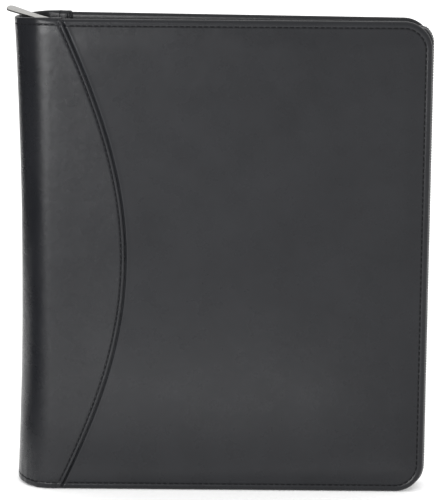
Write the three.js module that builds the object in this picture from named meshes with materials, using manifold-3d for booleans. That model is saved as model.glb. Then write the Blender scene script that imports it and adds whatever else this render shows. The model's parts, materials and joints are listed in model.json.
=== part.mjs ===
// Zip-around ring-binder portfolio case, closed and standing upright on its lower edges.
// Millimetres, +Z up. The front cover faces -Y, the soft rounded spine is at -X and the fore edge at +X.
// The covers lean towards each other, so the case is a wedge: thick at the spine, thin at the fore edge.
import * as THREE from "three";
import { mergeVertices } from "three/addons/utils/BufferGeometryUtils.js";
import Module from "manifold-3d";

const wasm = await Module();
wasm.setup();

// ---------------------------------------------------------------- driving dimensions
const CASE_HEIGHT = 336; // covers, bottom edge to top edge
const CREASE_X = -118.7; // line where the flat covers meet the rounded spine
const FORE_X = 145.5; // fore edge of the covers
const CREASE_HALF = 32.4; // half thickness at the crease, over the cover leather
const FORE_HALF = 17.5; // half thickness at the fore edge
const CORNER_R = 20; // rounded fore-edge corners
const SPINE_BULGE = 28.9; // how far the spine swells past the crease at its ends
const SPINE_PINCH = 4.2; // how much less it swells at mid height
const SPINE_DIP = 1.6; // how far the spine's rims sink between the creases
const SLAT_PHI = 18; // degrees, the spine's two inner fold lines

const LEATHER = 1.2; // leather sheet
const FOAM = [1.35, 2.55]; // padding, depth from the outer face
const BOARD = [2.7, 4.5]; // stiff board
const LINING = [4.65, 5.3]; // woven lining
const COVER_THICK = 5.3;
const OVERLAY = [-1.45, -0.15]; // half-moon leather overlay, on the outer face
const OVERLAY_REACH = 51.96; // its reach onto the cover at mid height
const LAYER_GAP = 0.3;

const ZIP_INSET = 8.1; // zip tape, from the cover's edge
const TAPE = [1.8, 10.5]; // each tape, from the zip's centre line
const TAPE_THICK = 1.0;
const CHAIN = [0.1, 1.6];
const CHAIN_THICK = 2.2;
const GUSSET_THICK = 1.2;
const ZIP_START_X = -121;

const RING_X = 27; // ring centre line, from the crease along the back cover
const RING_WIRE_R = 1.8;
const RING_R = 17.5; // wire centre line
const RING_CENTRE = 20.5; // above the lining
const RING_PITCH = 108; // three-ring spacing
const PLATE_Z = [31, 305];
const BLADE = { x0: 2.4, x1: 7, h0: 1.2, h1: 2.2 };
const RING_PIVOT_X = 6.6;

const PULL_PIVOT = [-120, 0, 330.9];
const PULL_LENGTH = 40.2;
const PULL_WIDTH = 7;
const PULL_THICK = 1.6;
const PULL_RISE = 12.3; // degrees above level at rest
const PULL_YAW = 26.5; // degrees, tip towards the back

const TILT = Math.atan2(CREASE_HALF - FORE_HALF, FORE_X - CREASE_X);
const COVER_LENGTH = (FORE_X - CREASE_X) / Math.cos(TILT);
const SPINE_HALF = CREASE_HALF - OVERLAY[0]; // outer half thickness of the spine
const rad = THREE.MathUtils.degToRad;

// ---------------------------------------------------------------- materials
const paint = (color, roughness, metalness = 0) =>
  new THREE.MeshStandardMaterial({ color, roughness, metalness });
const LOOK = {
  leather: () => paint(0x3b3d41, 0.5),
  leather_overlay: () => paint(0x3f4145, 0.47),
  foam: () => paint(0x8b8b86, 0.95),
  board: () => paint(0x8a7a62, 0.9),
  lining: () => paint(0x232427, 0.9),
  gusset: () => paint(0x2f3034, 0.7),
  tape: () => paint(0x1e1f22, 0.9),
  coil: () => paint(0x191a1c, 0.5),
  steel: () => paint(0xb9bcc0, 0.25, 1),
  pull: () => paint(0xc4c7cb, 0.22, 1),
  elastic: () => paint(0x17181a, 0.95),
  window: () => {
    const m = paint(0xdfe6ea, 0.12);
    m.transparent = true;
    m.opacity = 0.35;
    return m;
  },
};

// ---------------------------------------------------------------- geometry helpers
function solidOf(geometry) {
  const g = geometry.clone();
  g.deleteAttribute("normal");
  g.deleteAttribute("uv");
  const merged = mergeVertices(g, 1e-4);
  return new wasm.Manifold(
    new wasm.Mesh({
      numProp: 3,
      vertProperties: new Float32Array(merged.attributes.position.array),
      triVerts: new Uint32Array(merged.index.array),
    }),
  );
}
function geometryOf(solid) {
  const m = solid.getMesh();
  const v = new Float32Array(m.numVert * 3);
  for (let i = 0; i < m.numVert; i++)
    v.set(m.vertProperties.subarray(i * m.numProp, i * m.numProp + 3), i * 3);
  const g = new THREE.BufferGeometry();
  g.setAttribute("position", new THREE.BufferAttribute(v, 3));
  g.setIndex(new THREE.BufferAttribute(new Uint32Array(m.triVerts), 1));
  g.computeVertexNormals();
  return g;
}
// A flat slab: an outline in X and Z, from depth y0 to y1.
function slab(points, y0, y1) {
  const shape = new THREE.Shape(points.map(([x, z]) => new THREE.Vector2(x, z)));
  const g = new THREE.ExtrudeGeometry(shape, {
    depth: y1 - y0,
    bevelEnabled: false,
  });
  g.rotateX(Math.PI / 2);
  g.translate(0, y1, 0);
  return g;
}
function box(x0, x1, y0, y1, z0, z1) {
  const g = new THREE.BoxGeometry(x1 - x0, y1 - y0, z1 - z0);
  g.translate((x0 + x1) / 2, (y0 + y1) / 2, (z0 + z1) / 2);
  return g;
}
// An outline with rounded corners; radii are [bottom left, bottom right, top right, top left].
function roundedOutline(x0, x1, z0, z1, radii, steps = 7) {
  const corners = [
    [x0, z0, radii[0], 180],
    [x1, z0, radii[1], 270],
    [x1, z1, radii[2], 0],
    [x0, z1, radii[3], 90],
  ];
  const out = [];
  for (const [x, z, r, start] of corners) {
    if (r <= 0) {
      out.push([x, z]);
      continue;
    }
    const cx = x === x0 ? x + r : x - r;
    const cz = z === z0 ? z + r : z - r;
    for (let i = 0; i <= steps; i++) {
      const a = rad(start + (90 * i) / steps);
      out.push([cx + r * Math.cos(a), cz + r * Math.sin(a)]);
    }
  }
  return out;
}
const coverOutline = (inset, left = 0.3) => {
  const r = CORNER_R - inset;
  return roundedOutline(
    left,
    COVER_LENGTH - inset,
    inset,
    CASE_HEIGHT - inset,
    [0, r, r, 0],
  );
};
// A closed shell between two grids of points, (nu + 1) by (nv + 1) each.
function shell(nu, nv, outer, inner) {
  const pos = [];
  const id = (side, i, j) => side * (nu + 1) * (nv + 1) + i * (nv + 1) + j;
  for (const f of [outer, inner])
    for (let i = 0; i <= nu; i++)
      for (let j = 0; j <= nv; j++) pos.push(...f(i / nu, j / nv));
  const tri = [];
  const quad = (a, b, c, d) => tri.push(a, b, c, a, c, d);
  for (let i = 0; i < nu; i++)
    for (let j = 0; j < nv; j++) {
      quad(id(0, i, j), id(0, i + 1, j), id(0, i + 1, j + 1), id(0, i, j + 1));
      quad(id(1, i, j), id(1, i, j + 1), id(1, i + 1, j + 1), id(1, i + 1, j));
    }
  for (let i = 0; i < nu; i++) {
    quad(id(0, i, 0), id(1, i, 0), id(1, i + 1, 0), id(0, i + 1, 0));
    quad(id(0, i, nv), id(0, i + 1, nv), id(1, i + 1, nv), id(1, i, nv));
  }
  for (let j = 0; j < nv; j++) {
    quad(id(0, 0, j), id(0, 0, j + 1), id(1, 0, j + 1), id(1, 0, j));
    quad(id(0, nu, j), id(1, nu, j), id(1, nu, j + 1), id(0, nu, j + 1));
  }
  let volume = 0;
  const p = (k) => new THREE.Vector3(pos[3 * k], pos[3 * k + 1], pos[3 * k + 2]);
  for (let k = 0; k < tri.length; k += 3)
    volume += p(tri[k]).dot(p(tri[k + 1]).cross(p(tri[k + 2])));
  if (volume < 0)
    for (let k = 0; k < tri.length; k += 3)
      [tri[k + 1], tri[k + 2]] = [tri[k + 2], tri[k + 1]];
  const g = new THREE.BufferGeometry();
  g.setAttribute("position", new THREE.Float32BufferAttribute(pos, 3));
  g.setIndex(tri);
  g.computeVertexNormals();
  return g;
}
const mesh = (name, geometry, look) => {
  const m = new THREE.Mesh(geometry, LOOK[look]());
  m.name = name;
  return m;
};
const cylinderY = (r, y0, y1, x, z, n = 20) => {
  const g = new THREE.CylinderGeometry(r, r, y1 - y0, n);
  g.translate(x, (y0 + y1) / 2, z);
  return g;
};

// ---------------------------------------------------------------- the covers
// Both covers are built in one frame: X along the cover from the crease, Y inwards from the outer face.
const frontCover = new THREE.Group();
frontCover.position.set(CREASE_X, -CREASE_HALF, 0);
frontCover.rotation.z = TILT;
const backCover = new THREE.Group();
backCover.position.set(CREASE_X, CREASE_HALF, 0);
backCover.rotation.z = -TILT;
backCover.scale.y = -1; // the same build, turned over
const root = new THREE.Group();
root.add(frontCover, backCover);

// Leather with its three free edges turned over the padding and board.
const coverLeather = () =>
  geometryOf(
    solidOf(slab(coverOutline(0), 0, COVER_THICK)).subtract(
      solidOf(slab(coverOutline(LEATHER, -4), LEATHER, COVER_THICK + 3)),
    ),
  );
// The half-moon overlay runs out from the crease and back in a shallow bow.
function overlayReach(z) {
  const t = z / (CASE_HEIGHT / 2) - 1;
  return OVERLAY_REACH + 0.31 * t - 52.2 * t ** 2 + 0.9 * t ** 3 + 6.73 * t ** 4;
}
function overlayOutline() {
  const pts = [[0.3, 1]];
  const n = 22;
  for (let i = 0; i <= n; i++) {
    const z = 1 + ((CASE_HEIGHT - 2) * i) / n;
    pts.push([overlayReach(z), z]);
  }
  pts.push([0.3, CASE_HEIGHT - 1]);
  return pts;
}
const rivetZ = [PLATE_Z[0] + 16, PLATE_Z[1] - 16];
for (const [group, side] of [
  [frontCover, "front"],
  [backCover, "back"],
]) {
  const inner = coverOutline(LEATHER + 0.3, 0.6);
  let foam = slab(inner, FOAM[0], FOAM[1]);
  let board = slab(inner, BOARD[0], BOARD[1]);
  let lining = slab(inner, LINING[0], LINING[1]);
  if (side === "back") {
    // holes for the two rivets that hold the ring mechanism
    const drill = (g, r) =>
      geometryOf(
        rivetZ.reduce(
          (s, z) => s.subtract(solidOf(cylinderY(r, -1, 8, RING_X, z))),
          solidOf(g),
        ),
      );
    foam = drill(foam, 4.3);
    board = drill(board, 2);
    lining = drill(lining, 2);
  }
  group.add(
    mesh(side + "_leather", coverLeather(), "leather"),
    mesh(side + "_foam", foam, "foam"),
    mesh(side + "_board", board, "board"),
    mesh(side + "_lining", lining, "lining"),
    mesh(
      side + "_overlay",
      slab(overlayOutline(), OVERLAY[0], OVERLAY[1]),
      "leather_overlay",
    ),
  );
}

// ---------------------------------------------------------------- pockets inside the covers
const IN = COVER_THICK + LAYER_GAP;
frontCover.add(
  mesh(
    "file_pocket",
    slab(roundedOutline(16, 252, 14, 176, [6, 6, 4, 4], 4), IN, IN + 0.8),
    "lining",
  ),
);
// Three card pockets, each stepped below the one behind it.
[
  ["card_pocket_top", 196, 296, 0],
  ["card_pocket_middle", 196, 280, 1],
  ["card_pocket_bottom", 196, 264, 2],
].forEach(([name, z0, z1, k]) =>
  frontCover.add(
    mesh(
      name,
      slab(
        roundedOutline(30, 128, z0, z1, [3, 3, 3, 3], 3),
        IN + k,
        IN + k + 0.7,
      ),
      "lining",
    ),
  ),
);
frontCover.add(
  mesh(
    "id_window_frame",
    geometryOf(
      solidOf(
        slab(roundedOutline(140, 222, 206, 286, [3, 3, 3, 3], 3), IN + 0.6, IN + 1.6),
      ).subtract(
        solidOf(
          slab(roundedOutline(148, 214, 214, 278, [2, 2, 2, 2], 3), IN - 1, IN + 3),
        ),
      ),
    ),
    "leather",
  ),
  mesh(
    "id_window",
    slab(roundedOutline(142, 220, 208, 284, [2, 2, 2, 2], 3), IN, IN + 0.3),
    "window",
  ),
);
// Elastic pen loop: a band bent into an arch, with two flat feet on the lining.
{
  const cx = 238;
  const n = 14;
  // outer and inner faces of the band
  const outer = (u, v) => {
    const foot = 0.16;
    if (u <= foot)
      return [cx - 6.6 - 3.4 * (1 - u / foot), IN + 1.0, 226 + 36 * v];
    if (u >= 1 - foot)
      return [cx + 6.6 + 3.4 * (1 - (1 - u) / foot), IN + 1.0, 226 + 36 * v];
    const a = Math.PI * (1 - (u - foot) / (1 - 2 * foot));
    return [cx + 6.6 * Math.cos(a), IN + 1.0 + 9.2 * Math.sin(a), 226 + 36 * v];
  };
  const inner = (u, v) => {
    const foot = 0.16;
    if (u <= foot) return [cx - 5.6 - 4.4 * (1 - u / foot), IN, 226 + 36 * v];
    if (u >= 1 - foot)
      return [cx + 5.6 + 4.4 * (1 - (1 - u) / foot), IN, 226 + 36 * v];
    const a = Math.PI * (1 - (u - foot) / (1 - 2 * foot));
    return [cx + 5.6 * Math.cos(a), IN + 9.2 * Math.sin(a), 226 + 36 * v];
  };
  frontCover.add(mesh("pen_loop", shell(n + 4, 1, outer, inner), "elastic"));
}
backCover.add(
  mesh(
    "pad_pocket",
    slab(roundedOutline(62, 252, 14, 150, [6, 6, 4, 4], 4), IN, IN + 0.8),
    "lining",
  ),
);

// ---------------------------------------------------------------- zip-around closure
// The centre line of the zip: along the top, round the fore edge and back along the bottom.
const zipCorner = 14;
const zipRight = FORE_X - ZIP_INSET;
const zipTop = CASE_HEIGHT - ZIP_INSET;
function zipPath(startX) {
  const pts = []; // [x, z, nx, nz], the normal pointing out of the case
  for (let i = 0; i <= 6; i++)
    pts.push([startX + ((zipRight - zipCorner - startX) * i) / 6, zipTop, 0, 1]);
  for (let i = 1; i <= 6; i++) {
    const a = rad(90 - 15 * i);
    pts.push([
      zipRight - zipCorner + zipCorner * Math.cos(a),
      zipTop - zipCorner + zipCorner * Math.sin(a),
      Math.cos(a),
      Math.sin(a),
    ]);
  }
  for (let i = 1; i <= 5; i++)
    pts.push([
      zipRight,
      zipTop - zipCorner - ((CASE_HEIGHT - 2 * (ZIP_INSET + zipCorner)) * i) / 5,
      1,
      0,
    ]);
  for (let i = 1; i <= 6; i++) {
    const a = rad(-15 * i);
    pts.push([
      zipRight - zipCorner + zipCorner * Math.cos(a),
      ZIP_INSET + zipCorner + zipCorner * Math.sin(a),
      Math.cos(a),
      Math.sin(a),
    ]);
  }
  for (let i = 1; i <= 6; i++)
    pts.push([
      zipRight - zipCorner - ((zipRight - zipCorner - startX) * i) / 6,
      ZIP_INSET,
      0,
      -1,
    ]);
  return pts;
}
// A band of one thickness that follows the zip from y0(x) to y1(x).
function zipBand(startX, thick, y0, y1, sign) {
  const path = zipPath(startX);
  const n = path.length - 1;
  const face = (s) => (u, v) => {
    const [x, z, nx, nz] = path[Math.round(u * n)];
    const y = y0(x) + (y1(x) - y0(x)) * v;
    return [x + (s * thick * nx) / 2, sign * y, z + (s * thick * nz) / 2];
  };
  return shell(n, 1, face(1), face(-1));
}
const coverInside = (x) =>
  CREASE_HALF -
  (x - CREASE_X) * Math.tan(TILT) -
  COVER_THICK / Math.cos(TILT) -
  LAYER_GAP -
  0.05;
const frontZip = new THREE.Group();
const backZip = new THREE.Group();
root.add(frontZip, backZip);
for (const [group, side, sign] of [
  [frontZip, "front", -1],
  [backZip, "back", 1],
]) {
  group.add(
    mesh(
      side + "_gusset",
      zipBand(ZIP_START_X, GUSSET_THICK, () => TAPE[1] + 0.3, coverInside, sign),
      "gusset",
    ),
    mesh(
      "zip_tape_" + side,
      zipBand(ZIP_START_X, TAPE_THICK, () => TAPE[0], () => TAPE[1], sign),
      "tape",
    ),
    mesh(
      "zip_chain_" + side,
      zipBand(ZIP_START_X, CHAIN_THICK, () => CHAIN[0], () => CHAIN[1], sign),
      "coil",
    ),
  );
}
// Metal stop at the zip's lower end, on the back tape.
backZip.add(
  mesh(
    "zip_stop",
    box(
      ZIP_START_X - 3.4,
      ZIP_START_X - 0.3,
      -2.6,
      2.6,
      ZIP_INSET - 1.4,
      ZIP_INSET + 1.4,
    ),
    "steel",
  ),
);

// Slider: two plates over the chain, joined by the wedge that parts it.
const slider = new THREE.Group();
slider.position.set(PULL_PIVOT[0], 0, zipTop);
root.add(slider);
{
  const plate = (z0, z1) =>
    new THREE.ExtrudeGeometry(
      new THREE.Shape(
        [
          [-6, -3],
          [-3.6, -4.3],
          [5, -3.9],
          [6, -3],
          [6, 3],
          [5, 3.9],
          [-3.6, 4.3],
          [-6, 3],
        ].map(([x, y]) => new THREE.Vector2(x, y)),
      ),
      { depth: z1 - z0, bevelEnabled: false },
    ).translate(0, 0, z0);
  const wedge = new THREE.ExtrudeGeometry(
    new THREE.Shape(
      [
        [-5.6, 0],
        [-4.6, -1.3],
        [-3, 0],
        [-4.6, 1.3],
      ].map(([x, y]) => new THREE.Vector2(x, y)),
    ),
    { depth: 3.2, bevelEnabled: false },
  ).translate(0, 0, -1.6);
  let s = solidOf(plate(1.25, 1.9)).add(solidOf(plate(-1.9, -1.25))).add(solidOf(wedge));
  for (const y of [-1, 1])
    for (const [z0, z1] of [
      [0.65, 1.5],
      [-1.5, -0.65],
    ])
      s = s.add(
        solidOf(
          box(-3.4, 5, Math.min(y * 3.2, y * 3.9), Math.max(y * 3.2, y * 3.9), z0, z1),
        ),
      );
  slider.add(mesh("zip_slider", geometryOf(s), "steel"));
  // the bail that holds the pull, an arch on the upper plate
  const bail = solidOf(box(-3, 3, -0.7, 0.7, 2, 5.2)).subtract(
    solidOf(box(-2, 2, -2, 2, 1.7, 4.3)),
  );
  slider.add(mesh("slider_bail", geometryOf(bail), "steel"));
}

// Pull: a flat bar with an eye whose cross bar turns under the bail.
const pull = new THREE.Group();
pull.position.set(...PULL_PIVOT);
pull.rotation.set(0, 0, -rad(PULL_YAW));
root.add(pull);
const pullArm = new THREE.Group();
pullArm.rotation.y = rad(PULL_RISE); // raises the -X end
pull.add(pullArm);
{
  const bar = new THREE.CylinderGeometry(0.6, 0.6, 6.4, 12);
  let s = solidOf(bar);
  for (const y of [-1, 1])
    s = s.add(
      solidOf(
        box(-6.2, 0.5, Math.min(y * 2.5, y * 3.4), Math.max(y * 2.5, y * 3.4), -0.6, 0.6),
      ),
    );
  // the flat grip, with rounded corners at its tip
  const w = PULL_WIDTH / 2;
  const grip = new THREE.ExtrudeGeometry(
    new THREE.Shape(
      [
        [-4.8, -3.4],
        [-8, -w],
        [-PULL_LENGTH + 2, -w],
        [-PULL_LENGTH + 0.6, -w + 0.6],
        [-PULL_LENGTH, -w + 2],
        [-PULL_LENGTH, w - 2],
        [-PULL_LENGTH + 0.6, w - 0.6],
        [-PULL_LENGTH + 2, w],
        [-8, w],
        [-4.8, 3.4],
      ]
        .reverse()
        .map(([x, y]) => new THREE.Vector2(x, y)),
    ),
    { depth: PULL_THICK, bevelEnabled: false },
  );
  grip.translate(0, 0, -PULL_THICK / 2);
  s = s.add(solidOf(grip));
  const g = geometryOf(s);
  pullArm.add(mesh("pull_tab", g, "pull"));
}

// ---------------------------------------------------------------- soft spine, in three strips
// phi runs from -90 at the front crease to 90 at the back crease.
function spinePoint(phi, z, depth) {
  const h = z / (CASE_HEIGHT / 2) - 1;
  const a = SPINE_BULGE - SPINE_PINCH * (1 - h * h) - depth;
  const b = SPINE_HALF - depth;
  return [CREASE_X - a * Math.cos(phi), b * Math.sin(phi), z];
}
function spineStrip(name, phi0, phi1, d0, d1, look, margin, nu) {
  const face = (depth) => (u, v) => {
    const phi = rad(phi0) + (rad(phi1) - rad(phi0)) * u;
    const dip = SPINE_DIP * Math.cos(phi) ** 2 + margin;
    const z = dip + (CASE_HEIGHT - 2 * dip) * v;
    return spinePoint(phi, z, depth);
  };
  return mesh(name, shell(nu, 6, face(d0), face(d1)), look);
}
const GAP_PHI = 0.35; // degrees left at each fold
root.add(
  spineStrip("spine_leather_front", -90 + GAP_PHI, -SLAT_PHI - GAP_PHI, 0, 1.3, "leather_overlay", 0, 7),
  spineStrip("spine_lining_front", -87.5, -SLAT_PHI - 3, 1.6, 2.4, "lining", 4, 7),
  spineStrip("spine_leather_middle", -SLAT_PHI + GAP_PHI, SLAT_PHI - GAP_PHI, 0, 1.3, "leather_overlay", 0, 4),
  spineStrip("spine_stiffener", -SLAT_PHI + 3, SLAT_PHI - 3, 1.6, 2.6, "board", 5, 4),
  spineStrip("spine_lining_middle", -SLAT_PHI + 2, SLAT_PHI - 2, 2.9, 3.7, "lining", 4, 4),
  spineStrip("spine_leather_back", SLAT_PHI + GAP_PHI, 90 - GAP_PHI, 0, 1.3, "leather_overlay", 0, 7),
  spineStrip("spine_lining_back", SLAT_PHI + 3, 87.5, 1.6, 2.4, "lining", 4, 7),
);

// ---------------------------------------------------------------- ring mechanism, on the back cover
// Its frame: X across the rings, Y up from the lining, Z along the spine.
const rings = new THREE.Group();
rings.position.set(RING_X, COVER_THICK + LAYER_GAP, 0);
backCover.add(rings);
const ringZ = [-1, 0, 1].map((k) => CASE_HEIGHT / 2 + k * RING_PITCH);
{
  const outline = (d) => [
    [-13 + d, 0],
    [-11.5 + d, 4.5 - d * 0.4],
    [-6 + d * 0.4, 7.6 - d],
    [6 - d * 0.4, 7.6 - d],
    [11.5 - d, 4.5 - d * 0.4],
    [13 - d, 0],
  ];
  const channel = (pts, z0, z1) => {
    const g = new THREE.ExtrudeGeometry(
      new THREE.Shape(pts.map(([x, y]) => new THREE.Vector2(x, y))),
      { depth: z1 - z0, bevelEnabled: false },
    );
    g.translate(0, 0, z0);
    return g;
  };
  const innerPts = outline(0.9);
  innerPts[0][1] = innerPts[5][1] = -1;
  let plate = solidOf(channel(outline(0).reverse(), ...PLATE_Z)).subtract(
    solidOf(channel(innerPts.reverse(), PLATE_Z[0] - 2, PLATE_Z[1] + 2)),
  );
  for (const z of ringZ)
    for (const s of [-1, 1])
      plate = plate.subtract(
        solidOf(
          box(Math.min(s * 2.6, s * 15), Math.max(s * 2.6, s * 15), -1, 9, z - 2.7, z + 2.7),
        ),
      );
  for (const z of rivetZ)
    plate = plate.subtract(solidOf(cylinderY(1.9, 4, 9, 0, z)));
  // the crown between a lever's cheeks is cut back at each end
  plate = plate.subtract(solidOf(box(-6.4, 6.4, 3, 9, PLATE_Z[1] - 6, PLATE_Z[1] + 3)));
  plate = plate.subtract(solidOf(box(-6.4, 6.4, 3, 9, PLATE_Z[0] - 3, PLATE_Z[0] + 6)));
  rings.add(mesh("ring_base_plate", geometryOf(plate), "steel"));
}
// Rivets pass through the plate, lining and board, with their tails in the padding.
const tail = -(COVER_THICK + LAYER_GAP - FOAM[0] - 0.15);
rivetZ.forEach((z, k) => {
  const profile = [
    [0, tail],
    [3.5, tail],
    [3.5, tail + 0.8],
    [1.6, tail + 0.9],
    [1.6, 7.85],
    [3.4, 7.85],
    [2.9, 9],
    [1.4, 9.5],
    [0, 9.6],
  ].map(([x, y]) => new THREE.Vector2(x, y));
  const g = new THREE.LatheGeometry(profile, 18);
  g.translate(0, 0, z);
  rings.add(mesh(k ? "rivet_top" : "rivet_bottom", g, "steel"));
});
// Each half of the rings is a blade with three bowed wires, one body.
function ringHalf(s) {
  let out = solidOf(
    box(
      Math.min(s * BLADE.x0, s * BLADE.x1),
      Math.max(s * BLADE.x0, s * BLADE.x1),
      BLADE.h0,
      BLADE.h1,
      PLATE_Z[0] + 8,
      PLATE_Z[1] - 8,
    ),
  );
  for (const z of ringZ) {
    const pts = [new THREE.Vector3(s * 4.6, 1.7, z), new THREE.Vector3(s * 5.3, 2.9, z)];
    for (let i = 0; i <= 14; i++) {
      const a = rad(-68 + (158 * i) / 14);
      pts.push(
        new THREE.Vector3(
          s * Math.max(RING_R * Math.cos(a), 0) + s * 0.2,
          RING_CENTRE + RING_R * Math.sin(a),
          z,
        ),
      );
    }
    // a tube of ten sides along the bow, its ring of points square to the path
    const n = 10;
    const rows = pts.map((p, i) => {
      const t = new THREE.Vector3()
        .subVectors(pts[Math.min(i + 1, pts.length - 1)], pts[Math.max(i - 1, 0)])
        .normalize();
      if (i === pts.length - 1) t.set(-s, 0, 0);
      const side = new THREE.Vector3(0, 0, 1);
      const up = new THREE.Vector3().crossVectors(t, side);
      return Array.from({ length: n }, (_, k) => {
        const a = (2 * Math.PI * k) / n;
        return p
          .clone()
          .addScaledVector(side, RING_WIRE_R * Math.cos(a))
          .addScaledVector(up, RING_WIRE_R * Math.sin(a));
      });
    });
    const pos = [];
    rows.flat().forEach((p) => pos.push(p.x, p.y, p.z));
    const tri = [];
    for (let i = 0; i < rows.length - 1; i++)
      for (let k = 0; k < n; k++) {
        const k1 = (k + 1) % n;
        tri.push(i * n + k, (i + 1) * n + k1, i * n + k1);
        tri.push(i * n + k, (i + 1) * n + k, (i + 1) * n + k1);
      }
    const last = (rows.length - 1) * n;
    for (let k = 1; k < n - 1; k++) {
      tri.push(0, k, k + 1);
      tri.push(last, last + k + 1, last + k);
    }
    let volume = 0;
    const v = (k) => new THREE.Vector3(pos[3 * k], pos[3 * k + 1], pos[3 * k + 2] - z);
    for (let k = 0; k < tri.length; k += 3)
      volume += v(tri[k]).dot(v(tri[k + 1]).cross(v(tri[k + 2])));
    if (volume < 0)
      for (let k = 0; k < tri.length; k += 3)
        [tri[k + 1], tri[k + 2]] = [tri[k + 2], tri[k + 1]];
    const g = new THREE.BufferGeometry();
    g.setAttribute("position", new THREE.Float32BufferAttribute(pos, 3));
    g.setIndex(tri);
    out = out.add(solidOf(g));
  }
  return geometryOf(out);
}
rings.add(
  mesh("ring_half_right", ringHalf(1), "steel"),
  mesh("ring_half_left", ringHalf(-1), "steel"),
);
// Levers at both ends of the plate: a short heel under the crown and a tongue that leans outwards.
[
  ["lever_top", PLATE_Z[1], 1],
  ["lever_bottom", PLATE_Z[0], -1],
].forEach(([name, z, s]) => {
  const side = [
    [-4, 2.6],
    [0, 2.6],
    [3, 4.2],
    [12, 15.2],
    [13.4, 15.6],
    [13.9, 16.6],
    [12.6, 17.2],
    [11, 16.2],
    [2, 5.4],
    [-0.6, 3.8],
    [-4, 3.8],
  ];
  const shape = new THREE.Shape(side.map(([u, h]) => new THREE.Vector2(u, h)));
  const g = new THREE.ExtrudeGeometry(shape, { depth: 11, bevelEnabled: false });
  // profile X becomes the outward direction along Z, extrusion becomes X
  g.translate(0, 0, -5.5);
  g.rotateY(s > 0 ? -Math.PI / 2 : Math.PI / 2);
  g.translate(0, 0, z);
  rings.add(mesh(name, g, "steel"));
});

// ---------------------------------------------------------------- origin
// The origin is under the middle of the whole case, on the surface it stands on.
root.updateMatrixWorld(true);
const extent = new THREE.Box3().setFromObject(root, true);
root.position.set(-(extent.min.x + extent.max.x) / 2, -(extent.min.y + extent.max.y) / 2, -extent.min.z);
root.updateMatrixWorld(true);

export default root;
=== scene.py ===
"""Zip-around ring-binder portfolio case: the visible surfaces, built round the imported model.
Shapes are worked out in millimetres in the model's frame and scaled to metres at the end."""
import bpy
import bmesh
import json
import math
import numpy as np
from mathutils import Vector, Matrix


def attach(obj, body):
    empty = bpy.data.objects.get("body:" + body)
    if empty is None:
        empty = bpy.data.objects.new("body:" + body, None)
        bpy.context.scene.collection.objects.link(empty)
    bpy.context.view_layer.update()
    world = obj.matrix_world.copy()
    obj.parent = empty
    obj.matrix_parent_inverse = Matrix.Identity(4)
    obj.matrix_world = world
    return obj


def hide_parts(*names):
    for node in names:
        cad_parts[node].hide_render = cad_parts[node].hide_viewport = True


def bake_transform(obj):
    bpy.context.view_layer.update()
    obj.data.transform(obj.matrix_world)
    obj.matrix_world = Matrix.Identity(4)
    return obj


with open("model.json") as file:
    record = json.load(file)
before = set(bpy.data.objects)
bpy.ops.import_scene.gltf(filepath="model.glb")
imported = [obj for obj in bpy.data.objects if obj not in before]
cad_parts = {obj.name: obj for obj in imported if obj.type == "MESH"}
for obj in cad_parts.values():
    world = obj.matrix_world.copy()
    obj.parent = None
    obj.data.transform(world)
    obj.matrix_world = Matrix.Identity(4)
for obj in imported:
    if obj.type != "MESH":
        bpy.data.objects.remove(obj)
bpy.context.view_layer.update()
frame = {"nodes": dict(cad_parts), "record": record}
rng = np.random.default_rng(11)
MM = 0.001

# ------------------------------------------------------------------ dimensions (mm)
SX = 5.286205082813865          # the model's shift in X, origin under the middle of its box
H = 336.0
CRX = -118.7 + SX               # crease line
CH = 32.4                       # half thickness at the crease
FORE_HALF = 17.5
TILT = math.atan2(CH - FORE_HALF, 145.5 + 118.7)
C_, S_ = math.cos(TILT), math.sin(TILT)
L = (145.5 + 118.7) / C_        # cover length from the crease
BULGE, PINCH, DIP = 28.9, 4.2, 1.6
SEAM_H = 1.45                   # overlay's height over the cover
ZIP_INSET = 8.1
COVER_T = 5.3
IN = 5.6


def smooth(t):
    t = np.clip(t, 0.0, 1.0)
    return t * t * (3 - 2 * t)


def gauss(x, c, w):
    return np.exp(-(((x - c) / w) ** 2))


def cover_pt(P, side):
    """Cover frame (x from the crease, y inwards from the outer face, z up) to the model's frame."""
    P = np.asarray(P, float).reshape(-1, 3)
    x, y, z = P[:, 0], P[:, 1], P[:, 2]
    wx = CRX + x * C_ - y * S_
    wy = CH - x * S_ - y * C_
    return np.stack([wx, -wy if side == "front" else wy, z], 1)


def reach(z):
    t = np.clip(z, 0, H) / (H / 2) - 1
    return 51.96 + 0.31 * t - 52.2 * t**2 + 0.9 * t**3 + 6.73 * t**4


def reach_slope(z):
    return (reach(z + 0.5) - reach(z - 0.5)) / 1.0


# ------------------------------------------------------------------ mesh helpers
OBJ = {}


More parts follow.
